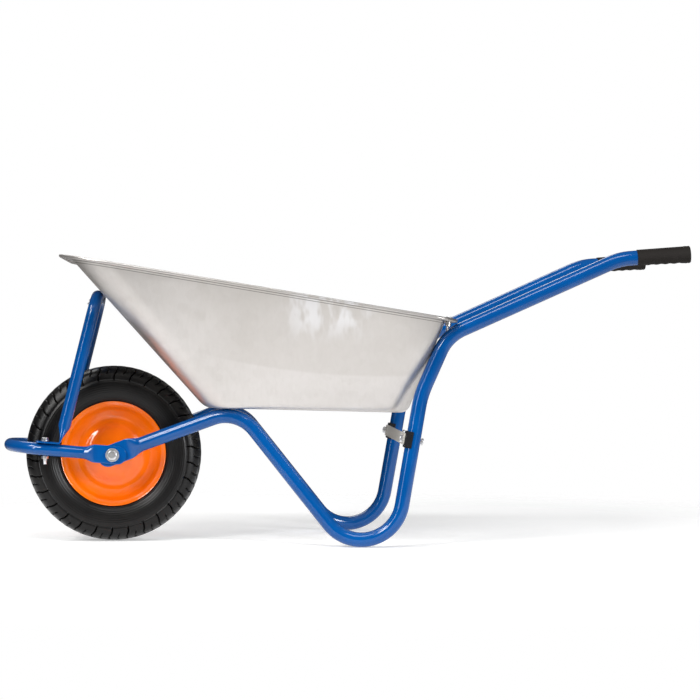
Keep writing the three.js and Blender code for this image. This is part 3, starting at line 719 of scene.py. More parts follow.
@dataclass
class Workshop:
    """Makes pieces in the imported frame: it holds the axle's place and the finishes."""

    axle: Vector
    finishes: dict[str, Finish] = field(default_factory=dict)
    made: dict[str, bpy.types.Material] = field(default_factory=dict)

    def finish(self, spec: Finish) -> bpy.types.Material:
        """The material of a finish, made once."""
        if spec.name not in self.made:
            self.made[spec.name] = spec.make()
        return self.made[spec.name]

    def piece(
        self,
        name: str,
        surface: Surface,
        finish: str,
        body: Body,
        nodes: Sequence[str],
        sharp: float = 32.0,
    ) -> bpy.types.Object:
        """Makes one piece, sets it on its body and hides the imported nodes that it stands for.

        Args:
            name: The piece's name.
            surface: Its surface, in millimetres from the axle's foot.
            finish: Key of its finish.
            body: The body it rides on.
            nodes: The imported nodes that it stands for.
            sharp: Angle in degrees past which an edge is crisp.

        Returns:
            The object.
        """
        spec = self.finishes[finish]
        mesh = bpy.data.meshes.new(name)
        points = surface.points * 0.001 + np.array([self.axle.x, 0.0, 0.0])
        mesh.vertices.add(len(points))
        mesh.vertices.foreach_set("co", points.astype(np.float32).ravel())
        corners = np.concatenate([surface.quads.ravel(), surface.triangles.ravel()])
        mesh.loops.add(len(corners))
        mesh.loops.foreach_set("vertex_index", corners.astype(np.int32))
        sizes = np.concatenate([np.full(len(surface.quads), 4), np.full(len(surface.triangles), 3)])
        mesh.polygons.add(len(sizes))
        starts = np.concatenate([[0], np.cumsum(sizes)[:-1]])
        mesh.polygons.foreach_set("loop_start", starts.astype(np.int32))
        mesh.update(calc_edges=True)
        mesh.validate()
        mesh.shade_smooth()
        mesh.set_sharp_from_angle(angle=math.radians(sharp))
        mesh.materials.append(self.finish(spec))
        obj = bpy.data.objects.new(name, mesh)
        bpy.context.scene.collection.objects.link(obj)
        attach(obj, body.value)
        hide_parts(*nodes)
        LOG.info("%s: %d faces, %s, on %s", name, len(sizes), spec.name, body.value)
        return obj

    def plated(self, node: str, surface: Surface, body: Body = Body.FRAME) -> None:
        """Makes a zinc plated piece that stands for one node."""
        self.piece(f"{node}_plated", surface, "zinc", body, [node])

    def moulded(self, node: str, surface: Surface, finish: str, body: Body = Body.FRAME) -> None:
        """Makes a moulded piece that stands for one node."""
        self.piece(f"{node}_moulded", surface, finish, body, [node])


# ---------------------------------------------------------------- frame tubes


@dataclass
class Rails:
    """The two bent tubes that are axle lug, tray bearer, leg and handle in one."""

    radius: float = 16.0
    lug_y: float = 93.0
    lug_half_height: float = 23.0
    lug_half_thickness: float = 2.0
    past_axle: float = 33.0
    flat_to: float = 37.0
    round_from: float = 68.3
    axle_z: float = 195.0
    slope: float = math.radians(20.4)
    knee_past: float = 3.0
    knee_bend: float = 60.0
    step: float = 2.6
    corners: tuple = (
        Corner((64, 98, 218.8), 60),
        Corner((274.6, 152.5, 297.3), 84),
        Corner((592.8, 230, -105.65), 90),
        Corner((668.6, 220, 328.3), 200),
        Corner((725, 223, 456), 95),
        Corner((1098, 242, 623), 150),
        Corner((1244, 249.6, 632.6)),
    )

    def centre_line(self, side: Side) -> CentreLine:
        """The line from behind the axle to the end inside the grip."""
        along = np.array([math.cos(self.slope), 0, math.sin(self.slope)])
        hub = np.array([0, self.lug_y * side.sign, self.axle_z])
        start = Corner(tuple(hub - self.past_axle * along))
        knee = Corner(tuple(hub + (self.flat_to + self.knee_past) * along), self.knee_bend)
        upright = (-along[2], 0, along[0])
        return CentreLine.bent([start, knee, *(c.on(side) for c in self.corners)], upright, self.step)

    def build(self, shop: Workshop) -> None:
        """Makes both rails."""
        for side in Side:
            line = self.centre_line(side)
            wide, thick, power = crushed_end(
                line.run, self.radius, self.lug_half_height, self.lug_half_thickness,
                self.past_axle + self.flat_to, self.past_axle + self.round_from,
            )
            name = f"{side.value}_rail"
            shop.piece(f"{name}_tube", swept(line, wide, thick, power), "blue", Body.FRAME, [name])


def crushed_end(
    run: Array, radius: float, half_height: float, half_thickness: float, flat: float, full: float
) -> tuple[Array, Array, Array]:
    """The section of a tube whose end is pressed flat and cut round.

    The half width is the height of a circle at the end, then constant; between flat and full
    it and the thickness ramp smoothly to the tube's radius.

    Args:
        run: Distance of each point from the end.
        radius: The tube's radius.
        half_height: Half the flattened end's width.
        half_thickness: Half its thickness.
        flat: Distance at which the flat part stops.
        full: Distance at which the tube is round.

    Returns:
        Half width, half thickness and superellipse power at each point.
    """
    t = (run - flat) / (full - flat)
    near = np.clip(half_height - run, 0, half_height)
    wide = np.sqrt(np.maximum(half_height**2 - near**2, 0.02))
    wide = mix(wide, radius, smooth(t))
    return wide, *rounding(t, half_thickness, radius)


def rounding(t: Array, half_thickness: float, radius: float) -> tuple[Array, Array]:
    """Half thickness and superellipse power where a pressed section grows round as t goes to 1."""
    thick = mix(half_thickness, radius, np.clip(t, 0, 1) ** 0.8 * smooth(t) ** 0.4)
    return thick, mix(9.0, 2.0, np.clip(t * 1.4, 0, 1) ** 0.5)


@dataclass
class BumperLoop:
    """The tube that runs from the axle round the front of the wheel and back."""

    radius: float = 13.5
    lug_y: float = 97.4
    lug_half_height: float = 20.0
    lug_half_thickness: float = 2.0
    past_axle: float = 31.0
    flat_to: float = 37.0
    round_from: float = 64.0
    nose_x: float = -229.8
    nose_rise: float = 20.0
    bend: float = 96.9
    axle_z: float = 195.0

    def height(self, x: float) -> float:
        """Height of the centre line at x: it climbs evenly from the axle to the nose."""
        return self.axle_z + self.nose_rise * x / self.nose_x

    def build(self, shop: Workshop) -> None:
        """Makes the loop."""
        forward = unit([self.nose_x, 0, self.nose_rise])
        back = -forward[0] * self.past_axle, -forward[2] * self.past_axle
        start = (back[0], -self.lug_y, self.axle_z + back[1])
        nose = (self.nose_x, -self.lug_y, self.height(self.nose_x))
        corners = [
            Corner(start), Corner(nose, self.bend),
            Corner(nose, self.bend).on(Side.LEFT), Corner(start).on(Side.LEFT),
        ]
        upright = (forward[2], 0, -forward[0])
        line = CentreLine.bent(corners, upright, 2.6)
        run = np.minimum(line.run, line.length - line.run)
        wide, thick, power = crushed_end(
            run, self.radius, self.lug_half_height, self.lug_half_thickness,
            self.past_axle + self.flat_to, self.past_axle + self.round_from,
        )
        surface = swept(line, wide, thick, power)
        shop.piece("bumper_loop", surface, "blue", Body.FRAME, ["front_loop"])


@dataclass
class TrayBrace:
    """The hoop that stands on the loop and carries the tray's front wall."""

    loop: BumperLoop
    radius: float = 13.5
    half_width: float = 95.0
    top: tuple = (-33.5, 544.0)
    bend: float = 48.0
    tab_front: float = -166.0
    tab_back: float = -116.0
    tab_half_width: float = 20.0
    tab_corner: float = 6.0
    ankle: float = 3.0
    shin: float = 34.0
    clear: float = 0.5
    thickness: float = 4.0

    def tab_z(self, x: float) -> float:
        """Underside of the foot at x, just clear of the loop."""
        return self.loop.height(x) + self.loop.radius + self.clear

    def build(self, shop: Workshop) -> None:
        """Makes the brace, feet and all, as one swept tube."""
        half = self.thickness / 2
        toe = (self.tab_front, -self.half_width, self.tab_z(self.tab_front) + half)
        heel_x = self.tab_back + half
        rear_shade = (heel_x, -self.half_width, self.tab_z(heel_x) + half)
        top = (self.top[0], -self.half_width, self.top[1])
        corners = [Corner(toe), Corner(rear_shade, self.tab_corner), Corner(top, self.bend)]
        corners += [c.on(Side.LEFT) for c in reversed(corners)]
        line = CentreLine.bent(corners, (0, 1, 0), 2.2)
        run = np.minimum(line.run, line.length - line.run)
        foot = math.dist(toe, rear_shade)
        t = (run - foot - self.ankle) / self.shin
        r = self.tab_corner
        nip = np.clip(r - run, 0, r)
        wide = self.tab_half_width - r + np.sqrt(np.maximum(r**2 - nip**2, 0.01))
        wide = mix(wide, self.radius, smooth(t))
        thick, power = rounding(t, half, self.radius)
        shop.piece("tray_brace", swept(line, wide, thick, power), "blue", Body.FRAME, ["front_brace"])


# ---------------------------------------------------------------- tray


@dataclass(frozen=True)
class Outline:
    """A rectangle with round corners, seen from above: its ends, half width and corner radii."""

    front: float
    rear: float
    half: float
    front_r: float
    rear_r: float

    def inset(self, d: float) -> "Outline":
        """The outline drawn in by d all round."""
        return Outline(self.front + d, self.rear - d, self.half - d, self.front_r - d, self.rear_r - d)

    def plan(self, arc: int = 18, side: int = 56, end: int = 30) -> Array:
        """Points round the outline: quarter circles at the corners and even steps between.

        Args:
            arc: Points in each corner.
            side: Points in each long side.
            end: Points in each end.

        Returns:
            XY points, in turn from the rear right corner through the front.
        """
        a, b, w = self.front_r, self.rear_r, self.half
        centres = np.array([
            [self.rear - b, w - b], [self.front + a, w - a],
            [self.front + a, a - w], [self.rear - b, b - w],
        ])
        radii = np.array([b, a, a, b])
        turn = np.linspace(0, np.pi / 2, arc)[None] + (np.pi / 2 * np.arange(4))[:, None]
        arcs = centres[:, None] + radii[:, None, None] * np.stack([np.cos(turn), np.sin(turn)], -1)
        pieces = []
        for k, count in enumerate((side, end, side, end)):
            t = np.linspace(0, 1, count + 2)[1:-1, None]
            pieces += [arcs[k], mix(arcs[k, -1], arcs[(k + 1) % 4, 0], t)]
        return np.vstack(pieces)


@dataclass
class Tray:
    """The pressed pan with its flange and rolled rim."""

    sheet: float = 1.0
    rim_rear: tuple = (745.0, 488.0)
    rim_fall: float = 0.1647
    floor_front: tuple = (285.0, 297.9)
    floor_fall: float = 0.026
    floor: Outline = Outline(214, 632, 172, 46, 34)
    low: Outline = Outline(188, 652, 190, 62, 46)
    high: Outline = Outline(-85, 720, 283, 95, 40)
    rim: Outline = Outline(-110, 745, 305, 112, 56)
    bead: float = 3.5
    flange_half: float = 0.7
    lip_radius: float = 6.0
    low_rise: float = 16.0
    crown: float = 2.0

    def rim_z(self, x: Array) -> Array:
        """Height of the rim plane at x."""
        return self.rim_rear[1] + self.rim_fall * (self.rim_rear[0] - x)

    def floor_z(self, x: Array) -> Array:
        """Height of the floor's underside at x."""
        return self.floor_front[1] - self.floor_fall * (x - self.floor_front[0])

    def ring(self, outline: Outline, height: Callable[[Array], Array]) -> Array:
        """An outline's points, each at the height of its x."""
        plan = outline.plan()
        return np.column_stack([plan, height(plan[:, 0])])

    def skin(self, inner: bool) -> Array:
        """The rings of one face of the sheet, from the middle of the floor to the flange.

        The floor's rings shrink to its middle; a curve with the floor and the wall as its
        tangents joins them; the wall is ruled between its lowest and highest rings; and a
        second curve turns it out into the flange.

        Args:
            inner: True for the face that holds the load.

        Returns:
            Rings by points by XYZ.
        """
        d = self.sheet if inner else 0.0
        foot = self.ring(self.floor.inset(d), lambda x: self.floor_z(x) + d)
        low = self.ring(self.low.inset(d), lambda x: self.floor_z(x) + self.low_rise)
        level = self.flange_half if inner else -self.flange_half
        high = self.ring(self.high.inset(d), lambda x: self.rim_z(x) + level)
        rise = ((low[:, 2] - self.floor_z(low[:, 0]) - d) / (high[:, 2] - low[:, 2]))[:, None]
        corner = low + (low - high) * rise
        middle = foot.mean(0)
        t = np.linspace(0.04, 1, 14)[:-1, None, None]
        floor = mix(middle, foot[None], t)
        t = np.linspace(0, 1, 12)[:-1, None, None]
        fillet = curve(foot, corner, low, t)
        up = np.linalg.norm(high - low, axis=1)[:, None]
        wall_end = mix(low, high, 1 - self.lip_radius / up)
        t = np.linspace(0, 1, 40)[:-1, None, None]
        wall = mix(low[None], wall_end[None], t)
        wall[..., 1] += self._crown(wall) * np.sign(wall[..., 1])
        out = self.ring(self.high.inset(d - self.lip_radius), lambda x: self.rim_z(x) + level)
        t = np.linspace(0, 1, 8)[:, None, None]
        lip = curve(wall_end, high, out, t)
        return np.concatenate([floor, fillet, wall, lip])

    def _crown(self, wall: Array) -> Array:
        """How far the side walls belly out: a smooth dome, highest at its middle."""
        x, z = wall[..., 0], wall[..., 2]
        u = np.clip((x - self.low.front) / (self.low.rear - self.low.front), 0, 1)
        v = np.clip((z - 320) / (self.rim_z(x) - 335), 0, 1)
        flat = smooth((np.abs(wall[..., 1]) - 120) / 60)
        return self.crown * np.sin(np.pi * u) * np.sin(np.pi * v) * flat

    def rolled_rim(self) -> Array:
        """The rings of the rolled edge, from under the flange round to its top."""
        start = math.asin(self.flange_half / self.bead)
        turn = np.linspace(np.pi + start, 3 * np.pi - start, 26)
        rings = []
        for a in turn:
            out = self.bead * math.cos(a)
            up = self.bead * math.sin(a)
            rings.append(self.ring(self.rim.inset(self.bead - out), lambda x: self.rim_z(x) + up))
        return np.stack(rings)

    def build(self, shop: Workshop) -> None:
        """Makes the tray: outer face, rolled edge and inner face as one closed surface."""
        rows = np.concatenate([self.skin(False), self.rolled_rim(), self.skin(True)[::-1]])
        shop.piece("pressed_tray", grid(rows), "tray", Body.FRAME, ["tray"], sharp=60)


# ---------------------------------------------------------------- fasteners


@dataclass(frozen=True)
class Thread:
    """A screw's radius, pitch and depth of thread."""

    radius: float
    pitch: float
    depth: float


M8 = Thread(4.0, 1.25, 0.5)
M12 = Thread(6.0, 1.75, 0.7)
M7 = Thread(3.6, 1.25, 0.45)


def hexagon(angle: Array, corner: float) -> Array:
    """Radius of a hexagon at each angle: its flat distance over the cosine from the flat's middle."""
    return corner * math.cos(math.pi / 6) / np.cos((angle % (math.pi / 3)) - math.pi / 6)


def hex_rows(corner: float, levels: Array, cone: Array, columns: int = 72) -> Array:
    """Rings of a hexagon whose corners are turned off by a cone.

    Args:
        corner: The hexagon's radius at its corners.
        levels: Height of each ring.
        cone: Radius of the cone at each ring, which the hexagon is cut to.
        columns: Points in a ring.

    Returns:
        Rings by points by XYZ.
    """
    a = turns(columns)
    return polar(np.minimum(hexagon(a, corner)[None], cone[:, None]), a, levels[:, None])


def round_rows(radii: Array, levels: Array, columns: int = 72) -> Array:
    """Round rings of the given radii and heights."""
    r = np.asarray(radii, float)[:, None] * np.ones(columns)
    return polar(r, turns(columns), np.asarray(levels, float)[:, None])


def hex_bolt(corner: float, head: float, thread: Thread, length: float, threaded: float) -> Surface:
    """A hexagon bolt whose head stands on the -Z side and whose shank runs along +Z.

    The thread is a helix: the radius falls by the depth where height over pitch less turn is
    half way between two whole numbers.

    Args:
        corner: The head's radius at its corners.
        head: The head's height.
        thread: The screw thread.
        length: The shank's length.
        threaded: How much of the shank's end is threaded.

    Returns:
        The surface.
    """
    flat = corner * math.cos(math.pi / 6)
    levels = np.array([-head, -head, -head + 0.25, -head + 0.6, -head + 1.1, -0.5, -0.2, 0.0])
    cone = np.array([flat * 0.6, flat * 0.93, flat, flat + 0.6, corner, corner, flat + 0.5, flat + 0.1])
    top = hex_rows(corner, levels, cone)
    plain = round_rows([thread.radius + 0.3, thread.radius, thread.radius], [0.0, 0.4, length - threaded])
    h = np.arange(length - threaded + 0.1, length - 0.4, thread.pitch / 6)
    a = turns(72)
    phase = (h[:, None] / thread.pitch - a[None] / (2 * np.pi)) % 1.0
    r = thread.radius - thread.depth * (1 - np.abs(2 * phase - 1))
    screw = polar(r, a, h[:, None])
    root, point = thread.radius - thread.depth, thread.radius - 1.6 * thread.depth
    tip = round_rows([root, point], [length - 0.3, length])
    return grid(np.concatenate([top, plain, screw, tip]))


def hex_nut(corner: float, height: float, bore: float) -> Surface:
    """A hexagon nut from the origin along +Z, turned off at both faces."""
    flat = corner * math.cos(math.pi / 6)
    levels = np.array([0.0, 0.0, 0.25, 0.9, height - 0.9, height - 0.25, height, height])
    half = np.array([flat * 0.7, flat * 0.96, flat + 0.2, corner])
    cone = np.concatenate([half, half[::-1]])
    outside = hex_rows(corner, levels, cone)
    inside = round_rows([bore + 0.5, bore, bore, bore + 0.5], [height, height - 0.6, 0.6, 0.0])
    return grid(np.concatenate([outside, inside]), loop_rows=True)


def sleeve(outer: float, bore: float, height: float, edge: float = 0.3) -> Surface:
    """A washer or spacer from the origin along +Z, with its edges broken."""
    profile = [
        (bore, 0.0), (outer - edge, 0.0), (outer, edge), (outer, height - edge),
        (outer - edge, height), (bore, height),
    ]
    return turned(np.array(profile), 64)


@dataclass
class Fasteners:
    """The bolts, nuts, washers and spacers of the frame."""

    tray: Tray
    brace: TrayBrace
    rails: Rails
    gap: float = 0.3
    hex8: float = 7.5
    head8: float = 5.0
    nut8: float = 6.5
    hole8: float = 4.3
    foot_x: float = -147.0
    foot_bolt: tuple = (54.0, 30.0)
    foot_washer: tuple = (9.0, 1.6)
    foot_lift: float = 1.2
    foot_drop: float = 1.0
    top_bolt_y: float = 42.0
    top_overrun: float = 16.0
    top_thread: float = 22.0
    top_spacer_r: float = 10.0
    flange_bolt: tuple = (729.0, 223.5)
    flange_hex: float = 6.6
    flange_shank: tuple = (26.0, 12.0)
    flange_washer: tuple = (6.8, 1.2)
    flange_spacer: tuple = (6.5, 12.0)

    def brace_feet(self, shop: Workshop, side: Side) -> None:
        """The upright bolts through the brace's feet and the loop."""
        y, word = side.sign * self.brace.half_width, side.value
        radius, thick = self.foot_washer
        washer_z = self.brace.tab_z(self.foot_x) + self.brace.thickness + self.foot_lift
        under = self.brace.loop.height(self.foot_x) - self.brace.loop.radius - self.foot_drop
        up, down = [0, 0, 1], [0, 0, -1]
        washer = sleeve(radius, self.hole8, thick).placed([self.foot_x, y, washer_z], up)
        shop.plated(f"brace_foot_washer_{word}", washer)
        bolt = hex_bolt(self.hex8, self.head8, M8, *self.foot_bolt)
        bolt = bolt.placed([self.foot_x, y, washer_z + thick + self.gap], down)
        shop.plated(f"brace_foot_bolt_{word}", bolt)
        nut = hex_nut(self.hex8, self.nut8, self.hole8).placed([self.foot_x, y, under], down)
        shop.plated(f"brace_foot_nut_{word}", nut)

    def brace_top(self, shop: Workshop, side: Side) -> None:
        """The bolts through the tray's front wall and the brace's crossbar, square to the wall."""
        tray, word = self.tray, side.value
        high = np.array([tray.high.front, 0, tray.rim_z(tray.high.front)])
        low = np.array([tray.low.front, 0, tray.floor_z(tray.low.front) + tray.low_rise])
        down = unit(low - high)
        out = np.array([down[2], 0, -down[0]])
        centre = np.array([self.brace.top[0], side.sign * self.top_bolt_y, self.brace.top[1]])
        wall = float(np.dot(centre - high, out))
        radius = self.brace.radius
        bolt = hex_bolt(self.hex8, self.head8, M8, wall + radius + self.top_overrun, self.top_thread)
        bolt = bolt.placed(centre - out * (wall + tray.sheet + self.gap), out)
        shop.plated(f"brace_top_bolt_{word}", bolt)
        spacer = sleeve(self.top_spacer_r, self.hole8, wall - radius - 2 * self.gap)
        shop.plated(f"brace_top_spacer_{word}", spacer.placed(centre + out * (self.gap - wall), out))
        nut = hex_nut(self.hex8, self.nut8, self.hole8)
        shop.plated(f"brace_top_nut_{word}", nut.placed(centre + out * (radius + self.gap), out))

    def tray_rear(self, shop: Workshop, side: Side) -> None:
        """The bolts through the tray's rear flange into the rails, over a spacer."""
        tray, word = self.tray, side.value
        normal = unit([tray.rim_fall, 0, 1])
        x, y = self.flange_bolt
        at = np.array([x, side.sign * y, tray.rim_z(x)])
        clear = tray.flange_half + self.gap
        radius, thick = self.flange_washer
        washer = sleeve(radius, self.hole8, thick).placed(at + normal * clear, normal)
        shop.plated(f"tray_rear_washer_{word}", washer)
        bolt = hex_bolt(self.flange_hex, self.head8, M7, *self.flange_shank)
        bolt = bolt.placed(at + normal * (clear + thick + self.gap), -normal)
        shop.plated(f"tray_rear_bolt_{word}", bolt)
        radius, height = self.flange_spacer
        spacer = sleeve(radius, self.hole8, height).placed(at - normal * (clear + height), normal)
        shop.plated(f"tray_rear_spacer_{word}", spacer)

    def build(self, shop: Workshop) -> None:
        """Makes all the frame's fasteners."""
        for side in Side:
            self.brace_feet(shop, side)
            self.brace_top(shop, side)
            self.tray_rear(shop, side)


# ---------------------------------------------------------------- strap


@dataclass
class LegStrap:
    """The flat strap across the fronts of the legs, on moulded saddles."""

    rails: Rails
    z: float = 231.0
    width: float = 25.0
    thickness: float = 3.0
    pad_thickness: float = 4.0
    pad_half_width: float = 18.5
    pad_half_height: float = 18.0
    pad_depth: float = 16.0
    rib_pitch: float = 3.75
    rib_share: float = 0.035
    hex8: float = 7.5
    head: float = 5.0
    nut: float = 6.5
    hole: float = 4.3
    shank: tuple = (47.0, 20.0)
    head_seat: float = 1.0
    overhang: float = 13.0
    gap: float = 0.3
    sink: float = 1.0

    def __post_init__(self) -> None:
        """Works out where the strap crosses the legs and how they lean."""
        low, high = (np.array(self.rails.corners[k].at) for k in (2, 3))
        t = (self.z - low[2]) / (high[2] - low[2])
        self.leg = mix(low, high, t)
        lean = math.atan2(high[0] - low[0], high[2] - low[2])
        self.out = np.array([math.cos(lean), 0, -math.sin(lean)])
        self.up = np.array([math.sin(lean), 0, math.cos(lean)])
        self.face = -self.rails.radius - self.pad_thickness + self.sink

    def local(self, points: Array) -> Array:
        """Points given through, across and up the legs, in the barrow's own axes."""
        base = np.array([self.leg[0], 0.0, self.leg[2]])
        return base + points @ np.stack([self.out, [0.0, 1.0, 0.0], self.up])

    def strip(self) -> Surface:
        """The strap: a rounded outline carried through its thickness, with broken edges."""
        half = self.leg[1] + self.overhang
        back = self.face - self.gap
        outline = Outline(-half, half, self.width / 2, 5, 5)
        levels = [(3.0, 0.0), (0.5, 0.0), (0.12, 0.12), (0.0, 0.5)]
        levels += [(d, self.thickness - h) for d, h in reversed(levels)]
        rings = []
        for inset, depth in levels:
            plan = outline.inset(inset).plan(10, 90, 6)
            rings.append(np.column_stack([np.full(len(plan), back - depth), plan]))
        return self.carried(grid(np.stack(rings)))

    def carried(self, surface: Surface, y: float = 0.0) -> Surface:
        """A surface drawn through, across and up the legs, moved by y and set on them."""
        points = self.local(surface.points + np.array([0.0, y, 0.0]))
        return Surface(points, surface.quads, surface.triangles).outward()

    def saddle(self, side: Side) -> Surface:
        """A saddle between leg and strap: flat in front, ribbed at its sides, hollowed behind.

        Its back follows the tube: the depth at y across is the root of r squared less y squared.

        Args:
            side: Which leg.

        Returns:
            The surface.
        """
        outline = Outline(-self.pad_half_width, self.pad_half_width, self.pad_half_height, 3.0, 3.0)
        tube = self.rails.radius + self.gap
        plan = outline.plan(6, 30, 40)
        at_side = np.abs(plan[:, 0]) > self.pad_half_width - 0.5
        wave = 0.5 - 0.5 * np.cos(plan[:, 1] * 2 * np.pi / self.rib_pitch)
        ribs = 1 - self.rib_share * wave * at_side
        rings = []
        for share, deep in ((0.3, 0), (0.6, 0), (0.93, 0), (0.98, 0.3), (1.0, 0.9), (1.0, 2.2)):
            flat = plan * share * np.column_stack([ribs, np.ones_like(ribs)])
            rings.append(np.column_stack([np.full(len(plan), self.face + deep), flat]))
        for share in (1.0, 0.975, 0.9, 0.87, 0.84, 0.8, 0.72, 0.6, 0.45, 0.3, 0.15):
            flat = plan * share * np.column_stack([ribs, np.ones_like(ribs)])
            back = -np.sqrt(np.maximum(tube**2 - flat[:, 0] ** 2, 0.0)) - 0.02
            back = np.minimum(back, self.face + self.pad_depth) - (0.4 if share == 1.0 else 0.0)
            rings.append(np.column_stack([back, flat]))
        return self.carried(grid(np.stack(rings)), side.sign * self.leg[1])

    def build(self, shop: Workshop) -> None:
        """Makes the strap, its saddles, bolts and nuts."""
        shop.piece("strap_strip", self.strip(), "strap", Body.FRAME, ["leg_strap"])
        front = self.face - self.thickness - 2 * self.gap
        for side in Side:
            word, y = side.value, side.sign * self.leg[1]
            shop.moulded(f"strap_pad_{word}", self.saddle(side), "nylon")
            bolt = hex_bolt(self.hex8, self.head, M8, *self.shank)
            head = self.local(np.array([self.rails.radius + self.head_seat, y, 0.0]))
            shop.plated(f"strap_bolt_{word}", bolt.placed(head, -self.out))
            nut = hex_nut(self.hex8, self.nut, self.hole)
            seat = self.local(np.array([front, y, 0.0]))
            shop.plated(f"strap_nut_{word}", nut.placed(seat, -self.out))


# ---------------------------------------------------------------- grips


@dataclass
class Grips:
    """The rubber grips: sleeves with finger scallops along their undersides."""

    rails: Rails
    length: float = 114.98
    end_wall: float = 6.0
    mouth_r: float = 17.8
    end_r: float = 18.8
    bore: float = 16.7
    scallop: float = 1.3
    pitch: float = 19.0
    band_from: float = 101.0
    band_step: float = 0.35
    groove_at: float = 109.0
    groove_half: float = 1.2
    groove_depth: float = 0.6
    gap: float = 0.3

    def sleeve(self) -> Surface:
        """One grip along +Z, mouth first.

        Its radius grows evenly from mouth to end, and on the underside falls by a scallop
        that goes as one less the cosine of distance over pitch. The band at the end stands over
        the rest and has a thin groove round it.

        Returns:
            The surface.
        """
        h = np.concatenate([[0.0, 0.3, 0.9], np.linspace(2, self.length - 4, 100)])
        h = np.concatenate([h, [self.length - 2.5, self.length - 1.2, self.length - 0.4, self.length]])
        r = mix(self.mouth_r, self.end_r, h / self.length)
        r = r - np.select([h < 0.2, h < 0.5], [0.7, 0.2], 0.0)
        r = r - np.clip(h - (self.length - 3.0), 0, 3) ** 2 * 0.16
        groove = np.exp(-(((h - self.groove_at) / self.groove_half) ** 2))
        r = r - self.band_step * (1 - smooth((h - self.band_from) / 2)) - self.groove_depth * groove
        columns = 72
        a = turns(columns)
        under = smooth((np.cos(a) - 0.1) / 0.8)
        wave = 0.5 - 0.5 * np.cos(2 * np.pi * (h - 4) / self.pitch)
        zone = smooth((h - 6) / 6) * (1 - smooth((h - 98) / 6))
        radius = r[:, None] - self.scallop * (wave * zone)[:, None] * under[None]
        outside = polar(radius, a, h[:, None])
        cap = round_rows([15.0, 10.0, 5.0], [self.length] * 3, columns)
        inner = self.length - self.end_wall
        radii = [6.0, self.bore - 1, self.bore, self.bore]
        hollow = round_rows(radii, [inner, inner, inner - 1, 0.0], columns)
        return grid(np.concatenate([hollow, outside, cap]))

    def build(self, shop: Workshop) -> None:
        """Makes both grips at the rails' ends."""
        for side in Side:
            end, bend = (np.array(self.rails.corners[k].on(side).at, float) for k in (-1, -2))
            axis = unit(end - bend)
            origin = end + axis * (self.gap - (self.length - self.end_wall))
            grip = self.sleeve().placed(origin, axis)
            shop.moulded(f"{side.value}_grip", grip, "grip")


# ---------------------------------------------------------------- wheel


